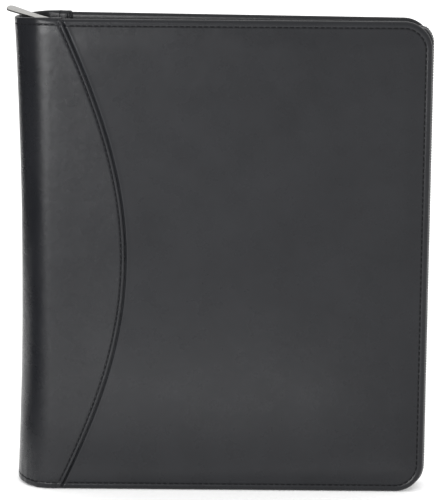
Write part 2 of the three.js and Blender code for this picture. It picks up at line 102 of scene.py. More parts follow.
def make(name, verts, faces, mat, body=None, reps=(), smooth_shade=True, ref=None, closed=False, mats=None, midx=None, sharp=None):
    """A mesh object from millimetre points. ref: a point inside, which open surfaces face away from."""
    V = np.asarray(verts, float).reshape(-1, 3)
    F = [tuple(int(i) for i in f) for f in faces]
    tri = np.array([(f[0], f[k], f[k + 1]) for f in F for k in range(1, len(f) - 1)])
    a, b, c = V[tri[:, 0]], V[tri[:, 1]], V[tri[:, 2]]
    n = np.cross(b - a, c - a)
    if closed:
        flip = np.einsum("ij,ij->i", a, n).sum() < 0
    elif ref is not None:
        flip = np.einsum("ij,ij->i", (a + b + c) / 3 - np.asarray(ref, float), n).sum() < 0
    else:
        flip = False
    if flip:
        F = [f[::-1] for f in F]
    me = bpy.data.meshes.new(name)
    me.from_pydata([tuple(v) for v in V * MM], [], F)
    me.validate()
    me.polygons.foreach_set("use_smooth", [smooth_shade] * len(me.polygons))
    for m in mats or [mat]:
        me.materials.append(m)
    if midx is not None:
        me.polygons.foreach_set("material_index", [int(i) for i in midx])
    me.update()
    ob = bpy.data.objects.new(name, me)
    bpy.context.scene.collection.objects.link(ob)
    if sharp is not None:
        me.set_sharp_from_angle(angle=math.radians(sharp))
    if reps:
        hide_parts(*reps)
    if body:
        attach(ob, body)
    OBJ[name] = ob
    return ob


def solidify(ob, mm, offset=-1.0):
    m = ob.modifiers.new("thickness", "SOLIDIFY")
    m.thickness = mm * MM
    m.offset = offset
    m.use_even_offset = False
    return m


def bevel(ob, mm, seg=3, angle=30):
    m = ob.modifiers.new("edges", "BEVEL")
    m.width = mm * MM
    m.segments = seg
    m.limit_method = "ANGLE"
    m.angle_limit = math.radians(angle)
    m.harden_normals = False
    return m


def grid_faces(nu, nv, base=0, wrap_u=False):
    out = []
    for i in range(nu if wrap_u else nu - 1):
        for j in range(nv - 1):
            a = base + i * nv + j
            b = base + ((i + 1) % nu) * nv + j
            out.append((a, b, b + 1, a + 1))
    return out


def merge(parts):
    V, F, k = [], [], 0
    for v, f in parts:
        V.append(np.asarray(v, float).reshape(-1, 3))
        F += [tuple(i + k for i in g) for g in f]
        k += len(V[-1])
    return np.concatenate(V), F


def graded(a, b, n, p=1.0):
    """n steps from a to b; p>1 packs the ends."""
    t = np.linspace(-1, 1, n + 1)
    t = np.sign(t) * (1 - (1 - np.abs(t)) ** p)
    return a + (b - a) * (t + 1) / 2


def rounded_grid(x0, x1, z0, z1, r, ds, xs, zs, nc, left_open=False):
    """Points over a rounded rectangle: an inner grid at inset r, then rings at insets ds.
    Returns x, z, inset d, ring number (-1 inside), faces and the outward direction in x, z."""
    nx, nz = len(xs) - 1, len(zs) - 1
    pts = [(x, z) for x in xs for z in zs]
    gi = lambda i, j: i * (nz + 1) + j
    cols = [(i, nz, 0.0, 1.0) for i in range(nx + 1)]
    arc = lambda a0, ai, aj: [(ai, aj, math.cos(math.radians(a0 - 90 * k / nc)), math.sin(math.radians(a0 - 90 * k / nc))) for k in range(1, nc)]
    cols += arc(90, nx, nz) + [(nx, j, 1.0, 0.0) for j in range(nz, -1, -1)]
    cols += arc(0, nx, 0) + [(i, 0, 0.0, -1.0) for i in range(nx, -1, -1)]
    if not left_open:
        cols += arc(-90, 0, 0) + [(0, j, -1.0, 0.0) for j in range(nz + 1)] + arc(180, 0, nz)
    X = [p[0] for p in pts]
    Z = [p[1] for p in pts]
    D = [min(x1 - x, z1 - z, z - z0, 1e9 if left_open else x - x0) for x, z in pts]
    R = [-1] * len(pts)
    U = [(0.0, 0.0)] * len(pts)
    faces = [(gi(i, j), gi(i + 1, j), gi(i + 1, j + 1), gi(i, j + 1)) for i in range(nx) for j in range(nz)]
    prev = [gi(c[0], c[1]) for c in cols]
    n = len(cols)
    for k, d in enumerate(ds):
        cur = list(range(len(X), len(X) + n))
        for ai, aj, ux, uz in cols:
            X.append(xs[ai] + ux * (r - d))
            Z.append(zs[aj] + uz * (r - d))
            D.append(d)
            R.append(k)
            U.append((ux, uz))
        for c in range(n if not left_open else n - 1):
            c1 = (c + 1) % n
            if prev[c] == prev[c1]:
                faces.append((prev[c], cur[c1], cur[c]))
            else:
                faces.append((prev[c], prev[c1], cur[c1], cur[c]))
        prev = cur
    return np.array(X), np.array(Z), np.array(D), np.array(R), faces, np.array(U)


def capsules(P, T, N, length, r, flat=0.8):
    """Short rounded threads centred at P, along T, with N out of the surface."""
    P, T, N = (np.asarray(a, float).reshape(-1, 3) for a in (P, T, N))
    T = T / np.linalg.norm(T, axis=1)[:, None]
    N = N - T * np.einsum("ij,ij->i", N, T)[:, None]
    N = N / np.linalg.norm(N, axis=1)[:, None]
    B = np.cross(T, N)
    nr = 7
    hl = length / 2
    prof = [(-hl, 0.0, -0.35), (-hl + 0.25 * r, 0.62, -0.25), (-hl + 0.9 * r, 0.95, -0.05), (-0.2 * hl, 1.0, 0.06), (0.2 * hl, 1.0, 0.06), (hl - 0.9 * r, 0.95, -0.05), (hl - 0.25 * r, 0.62, -0.25), (hl, 0.0, -0.35)]
    V, F = [], []
    for p, t, nn, b in zip(P, T, N, B):
        ring = []
        for s, k, up in prof:
            for q in range(nr):
                a = 2 * math.pi * q / nr
                ring.append(p + t * s + b * (r * k * math.cos(a)) + nn * (r * k * flat * math.sin(a) + up * r))
        V.append(np.array(ring))
    one = []
    m = len(prof)
    for i in range(m - 1):
        for q in range(nr):
            q1 = (q + 1) % nr
            one.append((i * nr + q, i * nr + q1, (i + 1) * nr + q1, (i + 1) * nr + q))
    size = m * nr
    for k in range(len(V)):
        F += [tuple(i + k * size for i in f) for f in one]
    return np.concatenate(V), F


# ------------------------------------------------------------------ materials
def principled(name, base, rough, metal=0.0, spec=0.5):
    m = bpy.data.materials.new(name)
    m.use_nodes = True
    nt = m.node_tree
    b = nt.nodes["Principled BSDF"]
    b.inputs["Base Color"].default_value = (*base, 1)
    b.inputs["Roughness"].default_value = rough
    b.inputs["Metallic"].default_value = metal
    b.inputs["Specular IOR Level"].default_value = spec
    return m, nt, b


def node(nt, kind, **inputs):
    n = nt.nodes.new(kind)
    for k, v in inputs.items():
        n.inputs[k.replace("_", " ")].default_value = v
    return n


def object_coords(nt, scale=(1, 1, 1)):
    tc = nt.nodes.new("ShaderNodeTexCoord")
    mp = nt.nodes.new("ShaderNodeMapping")
    mp.inputs["Scale"].default_value = scale
    nt.links.new(tc.outputs["Object"], mp.inputs["Vector"])
    return mp.outputs["Vector"]


def noise(nt, vec, scale, detail=4.0, rough=0.55, dist=0.0):
    n = nt.nodes.new("ShaderNodeTexNoise")
    n.inputs["Scale"].default_value = scale
    n.inputs["Detail"].default_value = detail
    n.inputs["Roughness"].default_value = rough
    n.inputs["Distortion"].default_value = dist
    nt.links.new(vec, n.inputs["Vector"])
    return n


def remap(nt, val, a, b, lo=0.3, hi=0.7):
    m = nt.nodes.new("ShaderNodeMapRange")
    m.inputs["From Min"].default_value = lo
    m.inputs["From Max"].default_value = hi
    m.inputs["To Min"].default_value = a
    m.inputs["To Max"].default_value = b
    nt.links.new(val, m.inputs["Value"])
    return m.outputs["Result"]


def mix_color(nt, fac, c0, c1):
    r = nt.nodes.new("ShaderNodeValToRGB")
    r.color_ramp.elements[0].color = (*c0, 1)
    r.color_ramp.elements[1].color = (*c1, 1)
    nt.links.new(fac, r.inputs["Fac"])
    return r.outputs["Color"]


def bump(nt, height, strength, dist, after=None):
    b = nt.nodes.new("ShaderNodeBump")
    b.inputs["Strength"].default_value = strength
    b.inputs["Distance"].default_value = dist
    nt.links.new(height, b.inputs["Height"])
    if after is not None:
        nt.links.new(after, b.inputs["Normal"])
    return b.outputs["Normal"]


def leather(name, c0, c1, rough=(0.36, 0.47), grain=0.35, spec=0.5, crease=0.25):
    """Smooth finished hide: fine pebbled pores, faint tone clouds and drawn creases."""
    m, nt, b = principled(name, c0, sum(rough) / 2, spec=spec)
    v = object_coords(nt)
    cloud = noise(nt, v, 26, 5, 0.6)
    nt.links.new(mix_color(nt, remap(nt, cloud.outputs["Fac"], 0, 1), c0, c1), b.inputs["Base Color"])
    patch = noise(nt, v, 60, 4, 0.6)
    nt.links.new(remap(nt, patch.outputs["Fac"], rough[0], rough[1]), b.inputs["Roughness"])
    vor = nt.nodes.new("ShaderNodeTexVoronoi")
    vor.feature = "DISTANCE_TO_EDGE"
    vor.inputs["Scale"].default_value = 1150
    nt.links.new(v, vor.inputs["Vector"])
    cells = remap(nt, vor.outputs["Distance"], 0, 1, 0.0, 0.22)
    fine = noise(nt, v, 2600, 3, 0.6)
    soft = noise(nt, v, 95, 4, 0.5, 0.6)
    n1 = bump(nt, soft.outputs["Fac"], crease, 0.0009)
    n2 = bump(nt, cells, grain, 0.00006, n1)
    n3 = bump(nt, fine.outputs["Fac"], grain, 0.00004, n2)
    nt.links.new(n3, b.inputs["Normal"])
    return m


def cloth(name, c0, c1, pitch=0.42, rough=0.85, depth=0.00010, sheen=0.25, twill=False, axis="xz"):
    """Plain woven cloth: crossing threads with slubs, and a little fuzz sheen."""
    m, nt, b = principled(name, c0, rough, spec=0.3)
    b.inputs["Sheen Weight"].default_value = sheen
    b.inputs["Sheen Roughness"].default_value = 0.5
    k = 1000 / pitch * math.pi / 10.0  # wave texture: one band per 2*pi/(20*scale) of a unit
    v = object_coords(nt)
    w = []
    for d in axis:
        t = nt.nodes.new("ShaderNodeTexWave")
        t.wave_type = "BANDS"
        t.bands_direction = d.upper()
        t.inputs["Scale"].default_value = k
        t.inputs["Distortion"].default_value = 0.6
        t.inputs["Detail"].default_value = 1
        t.inputs["Detail Scale"].default_value = 0.4
        nt.links.new(v, t.inputs["Vector"])
        w.append(t.outputs["Fac"])
    mul = nt.nodes.new("ShaderNodeMath")
    mul.operation = "MULTIPLY" if not twill else "MAXIMUM"
    nt.links.new(w[0], mul.inputs[0])
    nt.links.new(w[1], mul.inputs[1])
    slub = noise(nt, v, 180, 4, 0.6)
    add = nt.nodes.new("ShaderNodeMath")
    add.operation = "ADD"
    nt.links.new(mul.outputs[0], add.inputs[0])
    nt.links.new(remap(nt, slub.outputs["Fac"], 0, 0.6), add.inputs[1])
    nt.links.new(mix_color(nt, remap(nt, add.outputs[0], 0, 1, 0.1, 1.3), c0, c1), b.inputs["Base Color"])
    nt.links.new(bump(nt, add.outputs[0], 0.6, depth), b.inputs["Normal"])
    return m


def metal(name, base, rough=(0.12, 0.28), scratch=0.15, stretch=(1, 1, 1)):
    m, nt, b = principled(name, base, sum(rough) / 2, metal=1.0)
    v = object_coords(nt, stretch)
    n = noise(nt, v, 420, 5, 0.65)
    nt.links.new(remap(nt, n.outputs["Fac"], rough[0], rough[1]), b.inputs["Roughness"])
    t = noise(nt, v, 90, 3, 0.5)
    nt.links.new(mix_color(nt, remap(nt, t.outputs["Fac"], 0, 1), tuple(c * 0.88 for c in base), base), b.inputs["Base Color"])
    s = noise(nt, v, 1800, 2, 0.5)
    nt.links.new(bump(nt, s.outputs["Fac"], scratch, 0.00002), b.inputs["Normal"])
    return m


def speckle(name, c0, c1, rough, scale, bump_mm, spec=0.3, sheen=0.0):
    """Foam, grey board, thread and other matte stock."""
    m, nt, b = principled(name, c0, rough, spec=spec)
    b.inputs["Sheen Weight"].default_value = sheen
    v = object_coords(nt)
    n = noise(nt, v, scale, 5, 0.65)
    nt.links.new(mix_color(nt, remap(nt, n.outputs["Fac"], 0, 1), c0, c1), b.inputs["Base Color"])
    nt.links.new(remap(nt, n.outputs["Fac"], rough - 0.06, min(rough + 0.06, 1)), b.inputs["Roughness"])
    nt.links.new(bump(nt, n.outputs["Fac"], 0.5, bump_mm * MM), b.inputs["Normal"])
    return m


M = {}
M["cover_leather"] = leather("cover_leather", (0.0064, 0.0068, 0.0082), (0.0094, 0.0099, 0.0116), (0.25, 0.32), 0.26, 0.245, 0.15)
M["overlay_leather"] = leather("overlay_leather", (0.0064, 0.0068, 0.0082), (0.0098, 0.0102, 0.0118), (0.24, 0.31), 0.50, 0.265, 0.28)
M["trim_leather"] = leather("trim_leather", (0.014, 0.0145, 0.016), (0.020, 0.0205, 0.023), (0.36, 0.48), 0.4)
M["foam"] = speckle("foam", (0.022, 0.022, 0.024), (0.040, 0.040, 0.043), 0.95, 900, 0.25)
M["board"] = speckle("board", (0.30, 0.255, 0.195), (0.42, 0.36, 0.28), 0.9, 700, 0.1)
M["lining"] = cloth("lining", (0.012, 0.0125, 0.014), (0.030, 0.031, 0.035), 0.55)
M["pocket_cloth"] = cloth("pocket_cloth", (0.008, 0.0083, 0.0095), (0.021, 0.0215, 0.024), 0.5)
M["gusset"] = cloth("gusset", (0.014, 0.0145, 0.016), (0.032, 0.033, 0.037), 0.5)
M["zip_tape"] = cloth("zip_tape", (0.010, 0.0102, 0.0115), (0.028, 0.029, 0.032), 0.7, depth=0.00018, twill=True)
M["zip_coil"] = speckle("zip_coil", (0.016, 0.0162, 0.0178), (0.034, 0.0343, 0.037), 0.26, 500, 0.02, spec=0.6)
M["elastic"] = cloth("elastic", (0.010, 0.010, 0.011), (0.026, 0.026, 0.028), 0.9, depth=0.0003)
M["thread"] = speckle("thread", (0.003, 0.003, 0.0035), (0.008, 0.008, 0.009), 0.74, 2500, 0.05, spec=0.12)
M["zip_metal"] = metal("zip_metal", (0.46, 0.465, 0.475), (0.18, 0.34))
M["pull_metal"] = metal("pull_metal", (0.50, 0.495, 0.48), (0.24, 0.36), 0.3, (1, 9, 1))
M["ring_metal"] = metal("ring_metal", (0.50, 0.51, 0.53), (0.12, 0.26), 0.10)
M["rivet_metal"] = metal("rivet_metal", (0.46, 0.47, 0.49), (0.14, 0.28))


def film(name):
    m, nt, b = principled(name, (0.86, 0.89, 0.91), 0.08, spec=0.5)
    b.inputs["Transmission Weight"].default_value = 1.0
    b.inputs["IOR"].default_value = 1.46
    v = object_coords(nt)
    n = noise(nt, v, 55, 4, 0.5, 0.8)
    nt.links.new(remap(nt, n.outputs["Fac"], 0.03, 0.16), b.inputs["Roughness"])
    nt.links.new(bump(nt, n.outputs["Fac"], 0.35, 0.0006), b.inputs["Normal"])
    return m


M["clear_film"] = film("clear_film")

for sub in frame["record"]["subparts"]:
    ob = frame["nodes"].get(sub["node"])
    if ob is None or ob.type != "MESH":
        continue
    for s in ob.material_slots:
        s.material = M[sub["material_slot"]]
    if not ob.material_slots:
        ob.data.materials.append(M[sub["material_slot"]])

# ------------------------------------------------------------------ padded covers
EDGE_R = 2.65
SEAM_X = 52.0
STITCH_D = 4.7
WAVES = [(rng.uniform(0, 6.28), rng.uniform(0.012, 0.06), rng.uniform(-0.05, 0.05), rng.uniform(0.5, 1.0)) for _ in range(9)]


def outer_rise(x, z, d, k):
    """How far the padded face stands out of the flat cover, mm."""
    rise = 0.85 * smooth((d - 5.2) / 15) * smooth((x - 2) / 22)
    wav = sum(a * np.sin(fx * x + fz * z + p + k) for p, fx, fz, a in WAVES)
    rise = rise + 0.085 * wav * smooth((d - 5) / 18)
    # gathers where the hide is drawn round the lower fore corner
    g = 0.0
    for cx, cz, ang, wd, ln, am in ((247, 24, 38, 1.5, 13, 0.26), (251, 33, 55, 1.3, 12, 0.20), (238, 15, 20, 1.4, 13, 0.20), (254, 47, 72, 1.6, 12, 0.14), (252, 305, -40, 1.5, 10, 0.10)):
        a = math.radians(ang)
        u = (x - cx) * math.cos(a) + (z - cz) * math.sin(a)
        w = -(x - cx) * math.sin(a) + (z - cz) * math.cos(a)
        g = g + am * np.exp(-((u / ln) ** 2) - (w / wd) ** 2)
    rise = rise + g * smooth((d - 0.8) / 2.0)
    rise = rise - 0.50 * gauss(d, STITCH_D, 0.58) + 0.20 * gauss(d, 2.9, 1.1)
    return rise


def build_cover(side):
    k = 0.0 if side == "front" else 2.1
    ds_face = [17, 14.5, 12.5, 10.8, 9.4, 8.3, 7.4, 6.7, 6.15, 5.75, 5.4, 5.15, 4.95, 4.8, 4.65, 4.5, 4.3, 4.05, 3.7, 3.3, 2.95, 2.65]
    roll = [math.radians(a) for a in (12, 25, 38, 52, 66, 78, 90, 104, 120, 138, 158, 180)]
    ds = ds_face + [EDGE_R - EDGE_R * math.sin(a) for a in roll] + [4.5, 7.0, 10.0, 13.5]
    ys = [0.0] * len(ds_face) + [EDGE_R - EDGE_R * math.cos(a) for a in roll] + [2 * EDGE_R] * 4
    near = [0.15, 0.35, 0.55, 0.8, 1.1, 1.5, 2.1, 3.0, 4.5, 7.0]
    xs = np.array([0.3, 14, 28, 38, 45, 49, 51, 51.6, SEAM_X] + [SEAM_X + q for q in near] + list(graded(SEAM_X + 11.5, L - 20, 34, 1.1)))
    zs = graded(20, H - 20, 60, 1.15)
    X, Z, D, R, F, _ = rounded_grid(0.3, L, 0, H, 20, ds, xs, zs, 16, left_open=True)
    r_ = reach(Z)
    span = L - 20
    X = np.where(X >= span, X, np.where(X < SEAM_X, X * r_ / SEAM_X, r_ + np.minimum(X - SEAM_X, 7.0) + np.maximum(X - SEAM_X - 7.0, 0) * (span - r_ - 7.0) / (span - SEAM_X - 7.0)))
    Y = np.where(R < 0, 0.0, np.array(ys + [0.0])[R])
    Deff = np.where(R < len(ds_face), D, EDGE_R)
    face = smooth((Deff - 2.0) / 0.65)
    rise = outer_rise(X, Z, Deff, k)
    fade = np.ones(len(X))
    for i, a in enumerate(roll):
        fade[R == len(ds_face) + i] = max(math.cos(a), 0.0)
    fade[R >= len(ds_face) + len(roll)] = 0.0
    g_ = (X - r_) / np.sqrt(1 + reach_slope(Z) ** 2)
    Y = Y - rise * fade + (0.90 * gauss(g_, 0.36, 0.44) - 0.18 * gauss(g_, 1.8, 0.8)) * fade * (X > 0.5)
    P = cover_pt(np.stack([X, Y, Z], 1), side)
    ob = make(side + "_cover_skin", P, F, M["cover_leather"], body=side + "_cover", reps=[side + "_leather"])
    # face outwards: the sum of the outer face's normals points away from the middle plane
    sgn = -1 if side == "front" else 1
    ny = sum(p.normal.y * p.area for p in ob.data.polygons[: (len(xs) - 1) * 60])
    if ny * sgn < 0:
        ob.data.flip_normals()
    solidify(ob, 0.9)
    # border stitches, in their channel
    pitch = 4.2
    path = []
    d = STITCH_D
    rr = 20 - d
    x_a = float(reach(H - d)) + 3.2
    segs = [("t", L - 20 - x_a), ("c1", rr * math.pi / 2), ("r", H - 40), ("c2", rr * math.pi / 2), ("b", L - 20 - (float(reach(d)) + 3.2))]
    total = sum(s[1] for s in segs)
    n = int(total / pitch)
    for i in range(n):
        s = (i + 0.5) * total / n
        for nm, ln in segs:
            if s <= ln:
                break
            s -= ln
        if nm == "t":
            path.append((x_a + s, H - d, 1, 0))
        elif nm == "c1":
            a = math.pi / 2 - s / rr
            path.append((L - 20 + rr * math.cos(a), H - 20 + rr * math.sin(a), math.sin(a), -math.cos(a)))
        elif nm == "r":
            path.append((L - d, H - 20 - s, 0, -1))
        elif nm == "c2":
            a = -s / rr
            path.append((L - 20 + rr * math.cos(a), 20 + rr * math.sin(a), math.sin(a), -math.cos(a)))
        else:
            path.append((L - 20 - s, d, -1, 0))
    path = np.array(path)
    rise = outer_rise(path[:, 0], path[:, 1], np.full(len(path), d), k)
    P0 = np.stack([path[:, 0], -rise - 0.10, path[:, 1]], 1)
    jit = rng.normal(0, 0.05, (len(path), 1))
    P0[:, 0:1] += jit
    P1 = P0 + np.stack([path[:, 2], 0 * path[:, 2], path[:, 3]], 1)
    P2 = P0 + np.array([0, -1.0, 0])
    W0, W1, W2 = (cover_pt(q, side) for q in (P0, P1, P2))
    V, F2 = capsules(W0, W1 - W0, W2 - W0, 3.1, 0.36)
    make(side + "_border_stitches", V, F2, M["thread"], body=side + "_cover")
    return ob


for side in ("front", "back"):
    build_cover(side)

# ------------------------------------------------------------------ spine and half-moon overlays, one skin
E_SEAM = [0, 0.12, 0.3, 0.55, 0.85, 1.2, 1.6, 2.0, 2.3, 2.55, 2.8, 3.0, 3.2, 3.45, 3.7, 4.1, 4.8, 6.0, 8.0]
SPLITS = (-54.0, 0.0, 54.0)


def phi_list():
    base = list(np.arange(-90, 90.01, 3.0))
    for s in SPLITS:
        base += [s - 2.0, s - 0.9, s - 0.35, s - 0.1, s, s + 0.1, s + 0.35, s + 0.9, s + 2.0]
    return sorted(set(round(b, 3) for b in base))


def rim_rise(zp):
    return 0.5 + (SEAM_H - 0.5) * smooth(zp / 12)


PUCKERS = []
for end in (0, 1):
    for _ in range(9 if end == 0 else 10):
        PUCKERS.append((end, rng.uniform(-80, 80), rng.uniform(2.6, 5.0), rng.uniform(9, 22), rng.uniform(0.05, 0.17) * (1.0 if end == 0 else 0.9)))
PUCKERS += [(0, -47.0, 2.2, 20, 0.34), (0, -66.0, 2.3, 16, 0.38), (0, -80.5, 2.0, 9, 0.24), (0, -38.0, 2.6, 14, -0.16)]


def skin_point(col, z, zp):
    """Outer surface of a column at height z; zp: distance from the nearer rim. Returns point and outward normal (x, y)."""
    kind, val = col
    zc = np.clip(z, 0, H)
    rise = rim_rise(zp)
    if kind == "phi":
        phi = math.radians(val)
        h = zc / (H / 2) - 1
        a = BULGE - PINCH * (1 - h * h)
        b = CH + rise - 4.0 * math.tan(TILT) * smooth((zp - 3) / 6)
        x = CRX - a * math.cos(phi)
        y = b * math.sin(phi)
        nx, ny = -math.cos(phi) / a, math.sin(phi) / b
        nl = np.hypot(nx, ny)
        nx, ny = nx / nl, ny / nl
        bump_ = 0.0
        for end, pc, pw, pl, am in PUCKERS:
            dz = zc if end == 0 else H - zc
            bump_ = bump_ + am * np.exp(-(((val - pc) / pw) ** 2)) * np.exp(-((dz / pl) ** 2))
        bump_ = bump_ * smooth((90 - abs(val)) / 12) + 0.10 * np.sin(val * 0.11 + zc * 0.021) * np.cos(zc * 0.035 - val * 0.05) * smooth((88 - abs(val)) / 22)
        return x + nx * bump_, y + ny * bump_, nx, ny
    side, e, flat = val
    r = reach(zc)
    k = np.minimum(1.0, 0.75 * r / 8.0)
    if flat is None:
        x = r - e * k
        ee = e * k
    else:
        x = (r - 8.0 * k) * (1 - flat)
        ee = r - x
    ep = ee / np.sqrt(1 + reach_slope(zc) ** 2)
    prof = np.sqrt(np.clip(1 - (1 - np.minimum(ep, 1.1) / 1.1) ** 2, 0, 1))
    hgt = rise * prof - 0.75 * (1 - prof) - math.tan(TILT) * np.clip(8.0 - x, 0, 8) ** 2 / 16.0 * smooth((zp - 3) / 6)
    hgt = hgt - 0.52 * gauss(ep, 3.0, 0.5) + 0.28 * gauss(ep, 1.55, 0.65)
    hgt = hgt + 0.10 * np.sin(zc * 0.031 + 1.0) * smooth((ep - 4) / 10) * smooth((x - 1) / 14)
    sgn = -1.0 if side == "front" else 1.0
    wx = CRX + x * C_ + hgt * S_
    wy = CH - x * S_ + hgt * C_
    return wx, sgn * wy, S_ + 0 * wx, sgn * C_ + 0 * wx


def col_roll(col):
    if col[0] == "phi":
        return 1.5 + 1.65 * float(smooth((abs(col[1]) - 64) / 26)), DIP * math.cos(math.radians(col[1])) ** 2
    return 3.15, 0.0


def skin_columns():
    out = []
    for side in ("front", "back"):
        part = [("flat", (side, e, None)) for e in E_SEAM]
        part += [("flat", (side, None, f)) for f in (0.12, 0.25, 0.38, 0.5, 0.6, 0.69, 0.77, 0.84, 0.90, 0.95, 0.985)]
        out.append(part)
    phis = [("phi", p) for p in phi_list()]
    return out[0] + phis + out[1][::-1]


TOP_LIFT = 0.9  # the spine's skin stands a little over the covers' top edge
FACE_Z = [3.7, 4.0, 4.25, 4.45, 4.6, 4.75, 4.95, 5.2, 5.6, 6.2, 7.2, 8.6, 10.5, 13, 16, 20, 25, 31, 38, 46, 55, 65, 76, 88, 100, 113, 126, 140, 154, 168]
ROLL_A = [180, 160, 142, 126, 112, 100, 90, 78, 64, 50, 35, 18, 0]


def skin_column_points(col):
    R, dip = col_roll(col)
    rows = []  # (zp, depth)
    rows += [(11.0, 2 * R), (8.0, 2 * R), (5.5, 2 * R)]
    rows += [(R - R * math.sin(math.radians(a)), R - R * math.cos(math.radians(a))) for a in ROLL_A]
    rows += [(max(z, R + 0.05), 0.0) for z in FACE_Z]
    zp = np.array([r[0] for r in rows])
    dep = np.array([r[1] for r in rows])
    on_face = np.array([r[1] == 0.0 for r in rows])
    groove = 0.32 * gauss(zp, 4.7, 0.5) * on_face
    out = []
    for end in (1, 0):  # top end first, from its inside over the rim and down to the middle
        z = (H - dip + TOP_LIFT - zp) if end else (dip + zp)
        zz = np.where(on_face, z, (H - dip) if end else dip)
        x, y, nx, ny = skin_point(col, zz, np.where(on_face, zp, 0.0) + 0 * zz)
        x = x + 0 * z
        y = y + 0 * z
        p = np.stack([x - nx * (dep + groove), y - ny * (dep + groove), z], 1)
        out.append(p)
    top, bot = out
    return np.concatenate([top, bot[:-1][::-1]])  # the middle row is shared


COLS = skin_columns()
SKIN = np.array([skin_column_points(c) for c in COLS])  # (columns, rows, 3)
NV = SKIN.shape[1]


def phi_index(p):
    return next(i for i, c in enumerate(COLS) if c[0] == "phi" and abs(c[1] - p) < 1e-6)


CUTS = [0, phi_index(-54.0), phi_index(0.0), phi_index(54.0), len(COLS) - 1]
NAMES = ["spine_skin_front", "spine_skin_mid_front", "spine_skin_mid_back", "spine_skin_back"]
REPS = [["front_overlay", "spine_leather_front"], ["spine_leather_middle"], ["spine_leather_middle"], ["back_overlay", "spine_leather_back"]]
for i in range(4):
    sub = SKIN[CUTS[i]: CUTS[i + 1] + 1]
    ob = make(NAMES[i], sub.reshape(-1, 3), grid_faces(len(sub), NV), M["overlay_leather"], reps=REPS[i])
    j = int(0.5 * NV)
    mid = sub[len(sub) // 2, j]
    want = Vector((mid[0] - CRX if i in (1, 2) else 0.0, mid[1], 0))
    f = ob.data.polygons[(len(sub) // 2) * (NV - 1) + j]
    if f.normal.dot(want) < 0:
        ob.data.flip_normals()
    solidify(ob, 0.9)
    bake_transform(ob)


def skin_stitches():
    """Thread along both rims of the spine and along the half-moon seams."""
    groups = [[], [], [], []]
    # rims
    fine = []
    for c in COLS:
        R, dip = col_roll(c)
        fine.append(dip)
    for end in (1, 0):
        # walk the columns at the hem height
        pts = []
        for ci, c in enumerate(COLS):
            dip = fine[ci]
            z = (H - dip + TOP_LIFT - 4.7) if end else dip + 4.7
            x, y, nx, ny = skin_point(c, np.array(z), np.array(4.7))
            keep = True
            if c[0] == "flat" and (c[1][1] is not None and c[1][1] < 6):
                keep = False
            if keep:
                pts.append((float(x - nx * 0.24), float(y - ny * 0.24), z, float(nx), float(ny), ci))
        pts = np.array(pts)
        seg = np.linalg.norm(np.diff(pts[:, :3], axis=0), axis=1)
        s = np.concatenate([[0], np.cumsum(seg)])
        n = int(s[-1] / 4.2)
        at = (np.arange(n) + 0.5) * s[-1] / n
        q = np.stack([np.interp(at, s, pts[:, k]) for k in range(6)], 1)
        q2 = np.stack([np.interp(at + 0.4, s, pts[:, k]) for k in range(3)], 1)
        q1 = np.stack([np.interp(at - 0.4, s, pts[:, k]) for k in range(3)], 1)
        for k in range(n):
            g = int(np.searchsorted(CUTS[1:4], q[k, 5], side="right"))
            groups[g].append((q[k, :3], q2[k] - q1[k], (q[k, 3], q[k, 4], 0)))
    # half-moon seams
    for side, g in (("front", 0), ("back", 3)):
        zs = np.linspace(5.5, H - 5.5, 900)
        sl = reach_slope(zs)
        e = 3.0 * np.sqrt(1 + sl**2)
        x = reach(zs) - e
        hgt = rim_rise(np.minimum(zs, H - zs)) - 0.50
        P = cover_pt(np.stack([x, -hgt - 0.07, zs], 1), side)
        seg = np.linalg.norm(np.diff(P, axis=0), axis=1)
        s = np.concatenate([[0], np.cumsum(seg)])
        n = int(s[-1] / 4.0)
        at = (np.arange(n) + 0.5) * s[-1] / n
        at = at[(at > 2) & (at < s[-1] - 2)]
        q, qa, qb = (np.stack([np.interp(at + o, s, P[:, k]) for k in range(3)], 1) for o in (0, -0.4, 0.4))
        nrm = (S_, -C_ if side == "front" else C_, 0)
        for k in range(len(at)):
            groups[g].append((q[k], qb[k] - qa[k], nrm))
    for i, g in enumerate(groups):
        V, F = capsules([a[0] for a in g], [a[1] for a in g], [a[2] for a in g], 2.95, 0.36)
        ob = make("spine_stitches_%d" % i, V, F, M["thread"])
        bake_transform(ob)


skin_stitches()

# ------------------------------------------------------------------ zip-around closure
ZC = 14.0
ZR = 145.5 + SX - ZIP_INSET
ZT = H - ZIP_INSET
ZX0 = -121.0 + SX


def zip_line(s):
    """Centre line by length from the spine end at the top: x, z and outward (nx, nz)."""
    a = ZR - ZC - ZX0
    q = ZC * math.pi / 2
    v = H - 2 * (ZIP_INSET + ZC)
    s = float(s)
    if s <= a:
        return ZX0 + s, ZT, 0.0, 1.0
    s -= a
    if s <= q:
        t = math.pi / 2 - s / ZC
        return ZR - ZC + ZC * math.cos(t), ZT - ZC + ZC * math.sin(t), math.cos(t), math.sin(t)
    s -= q
    if s <= v:
        return ZR, ZT - ZC - s, 1.0, 0.0
    s -= v
    if s <= q:
        t = -s / ZC
        return ZR - ZC + ZC * math.cos(t), ZIP_INSET + ZC + ZC * math.sin(t), math.cos(t), math.sin(t)
    s -= q
    return ZR - ZC - s, ZIP_INSET, 0.0, -1.0


ZLEN = 2 * (ZR - ZC - ZX0) + ZC * math.pi + H - 2 * (ZIP_INSET + ZC)


def zip_swell(x, z):
    """The closed zip stands proud towards the fore edge, almost level with the covers' edges."""
    g = float(smooth((x - 126.5) / 12.0))
    return 8.3 * g, 5.7 * g * float(np.clip((z - H / 2) / (ZT - ZC - H / 2), -1, 1))


def zip_rows(s_list):
    rows = []
    for s in s_list:
        x, z, nx, nz = zip_line(s)
        ox, oz = zip_swell(x, z)
        rows.append((x + ox, z + oz, nx, nz, x, z, ox, oz))
    return np.array(rows)


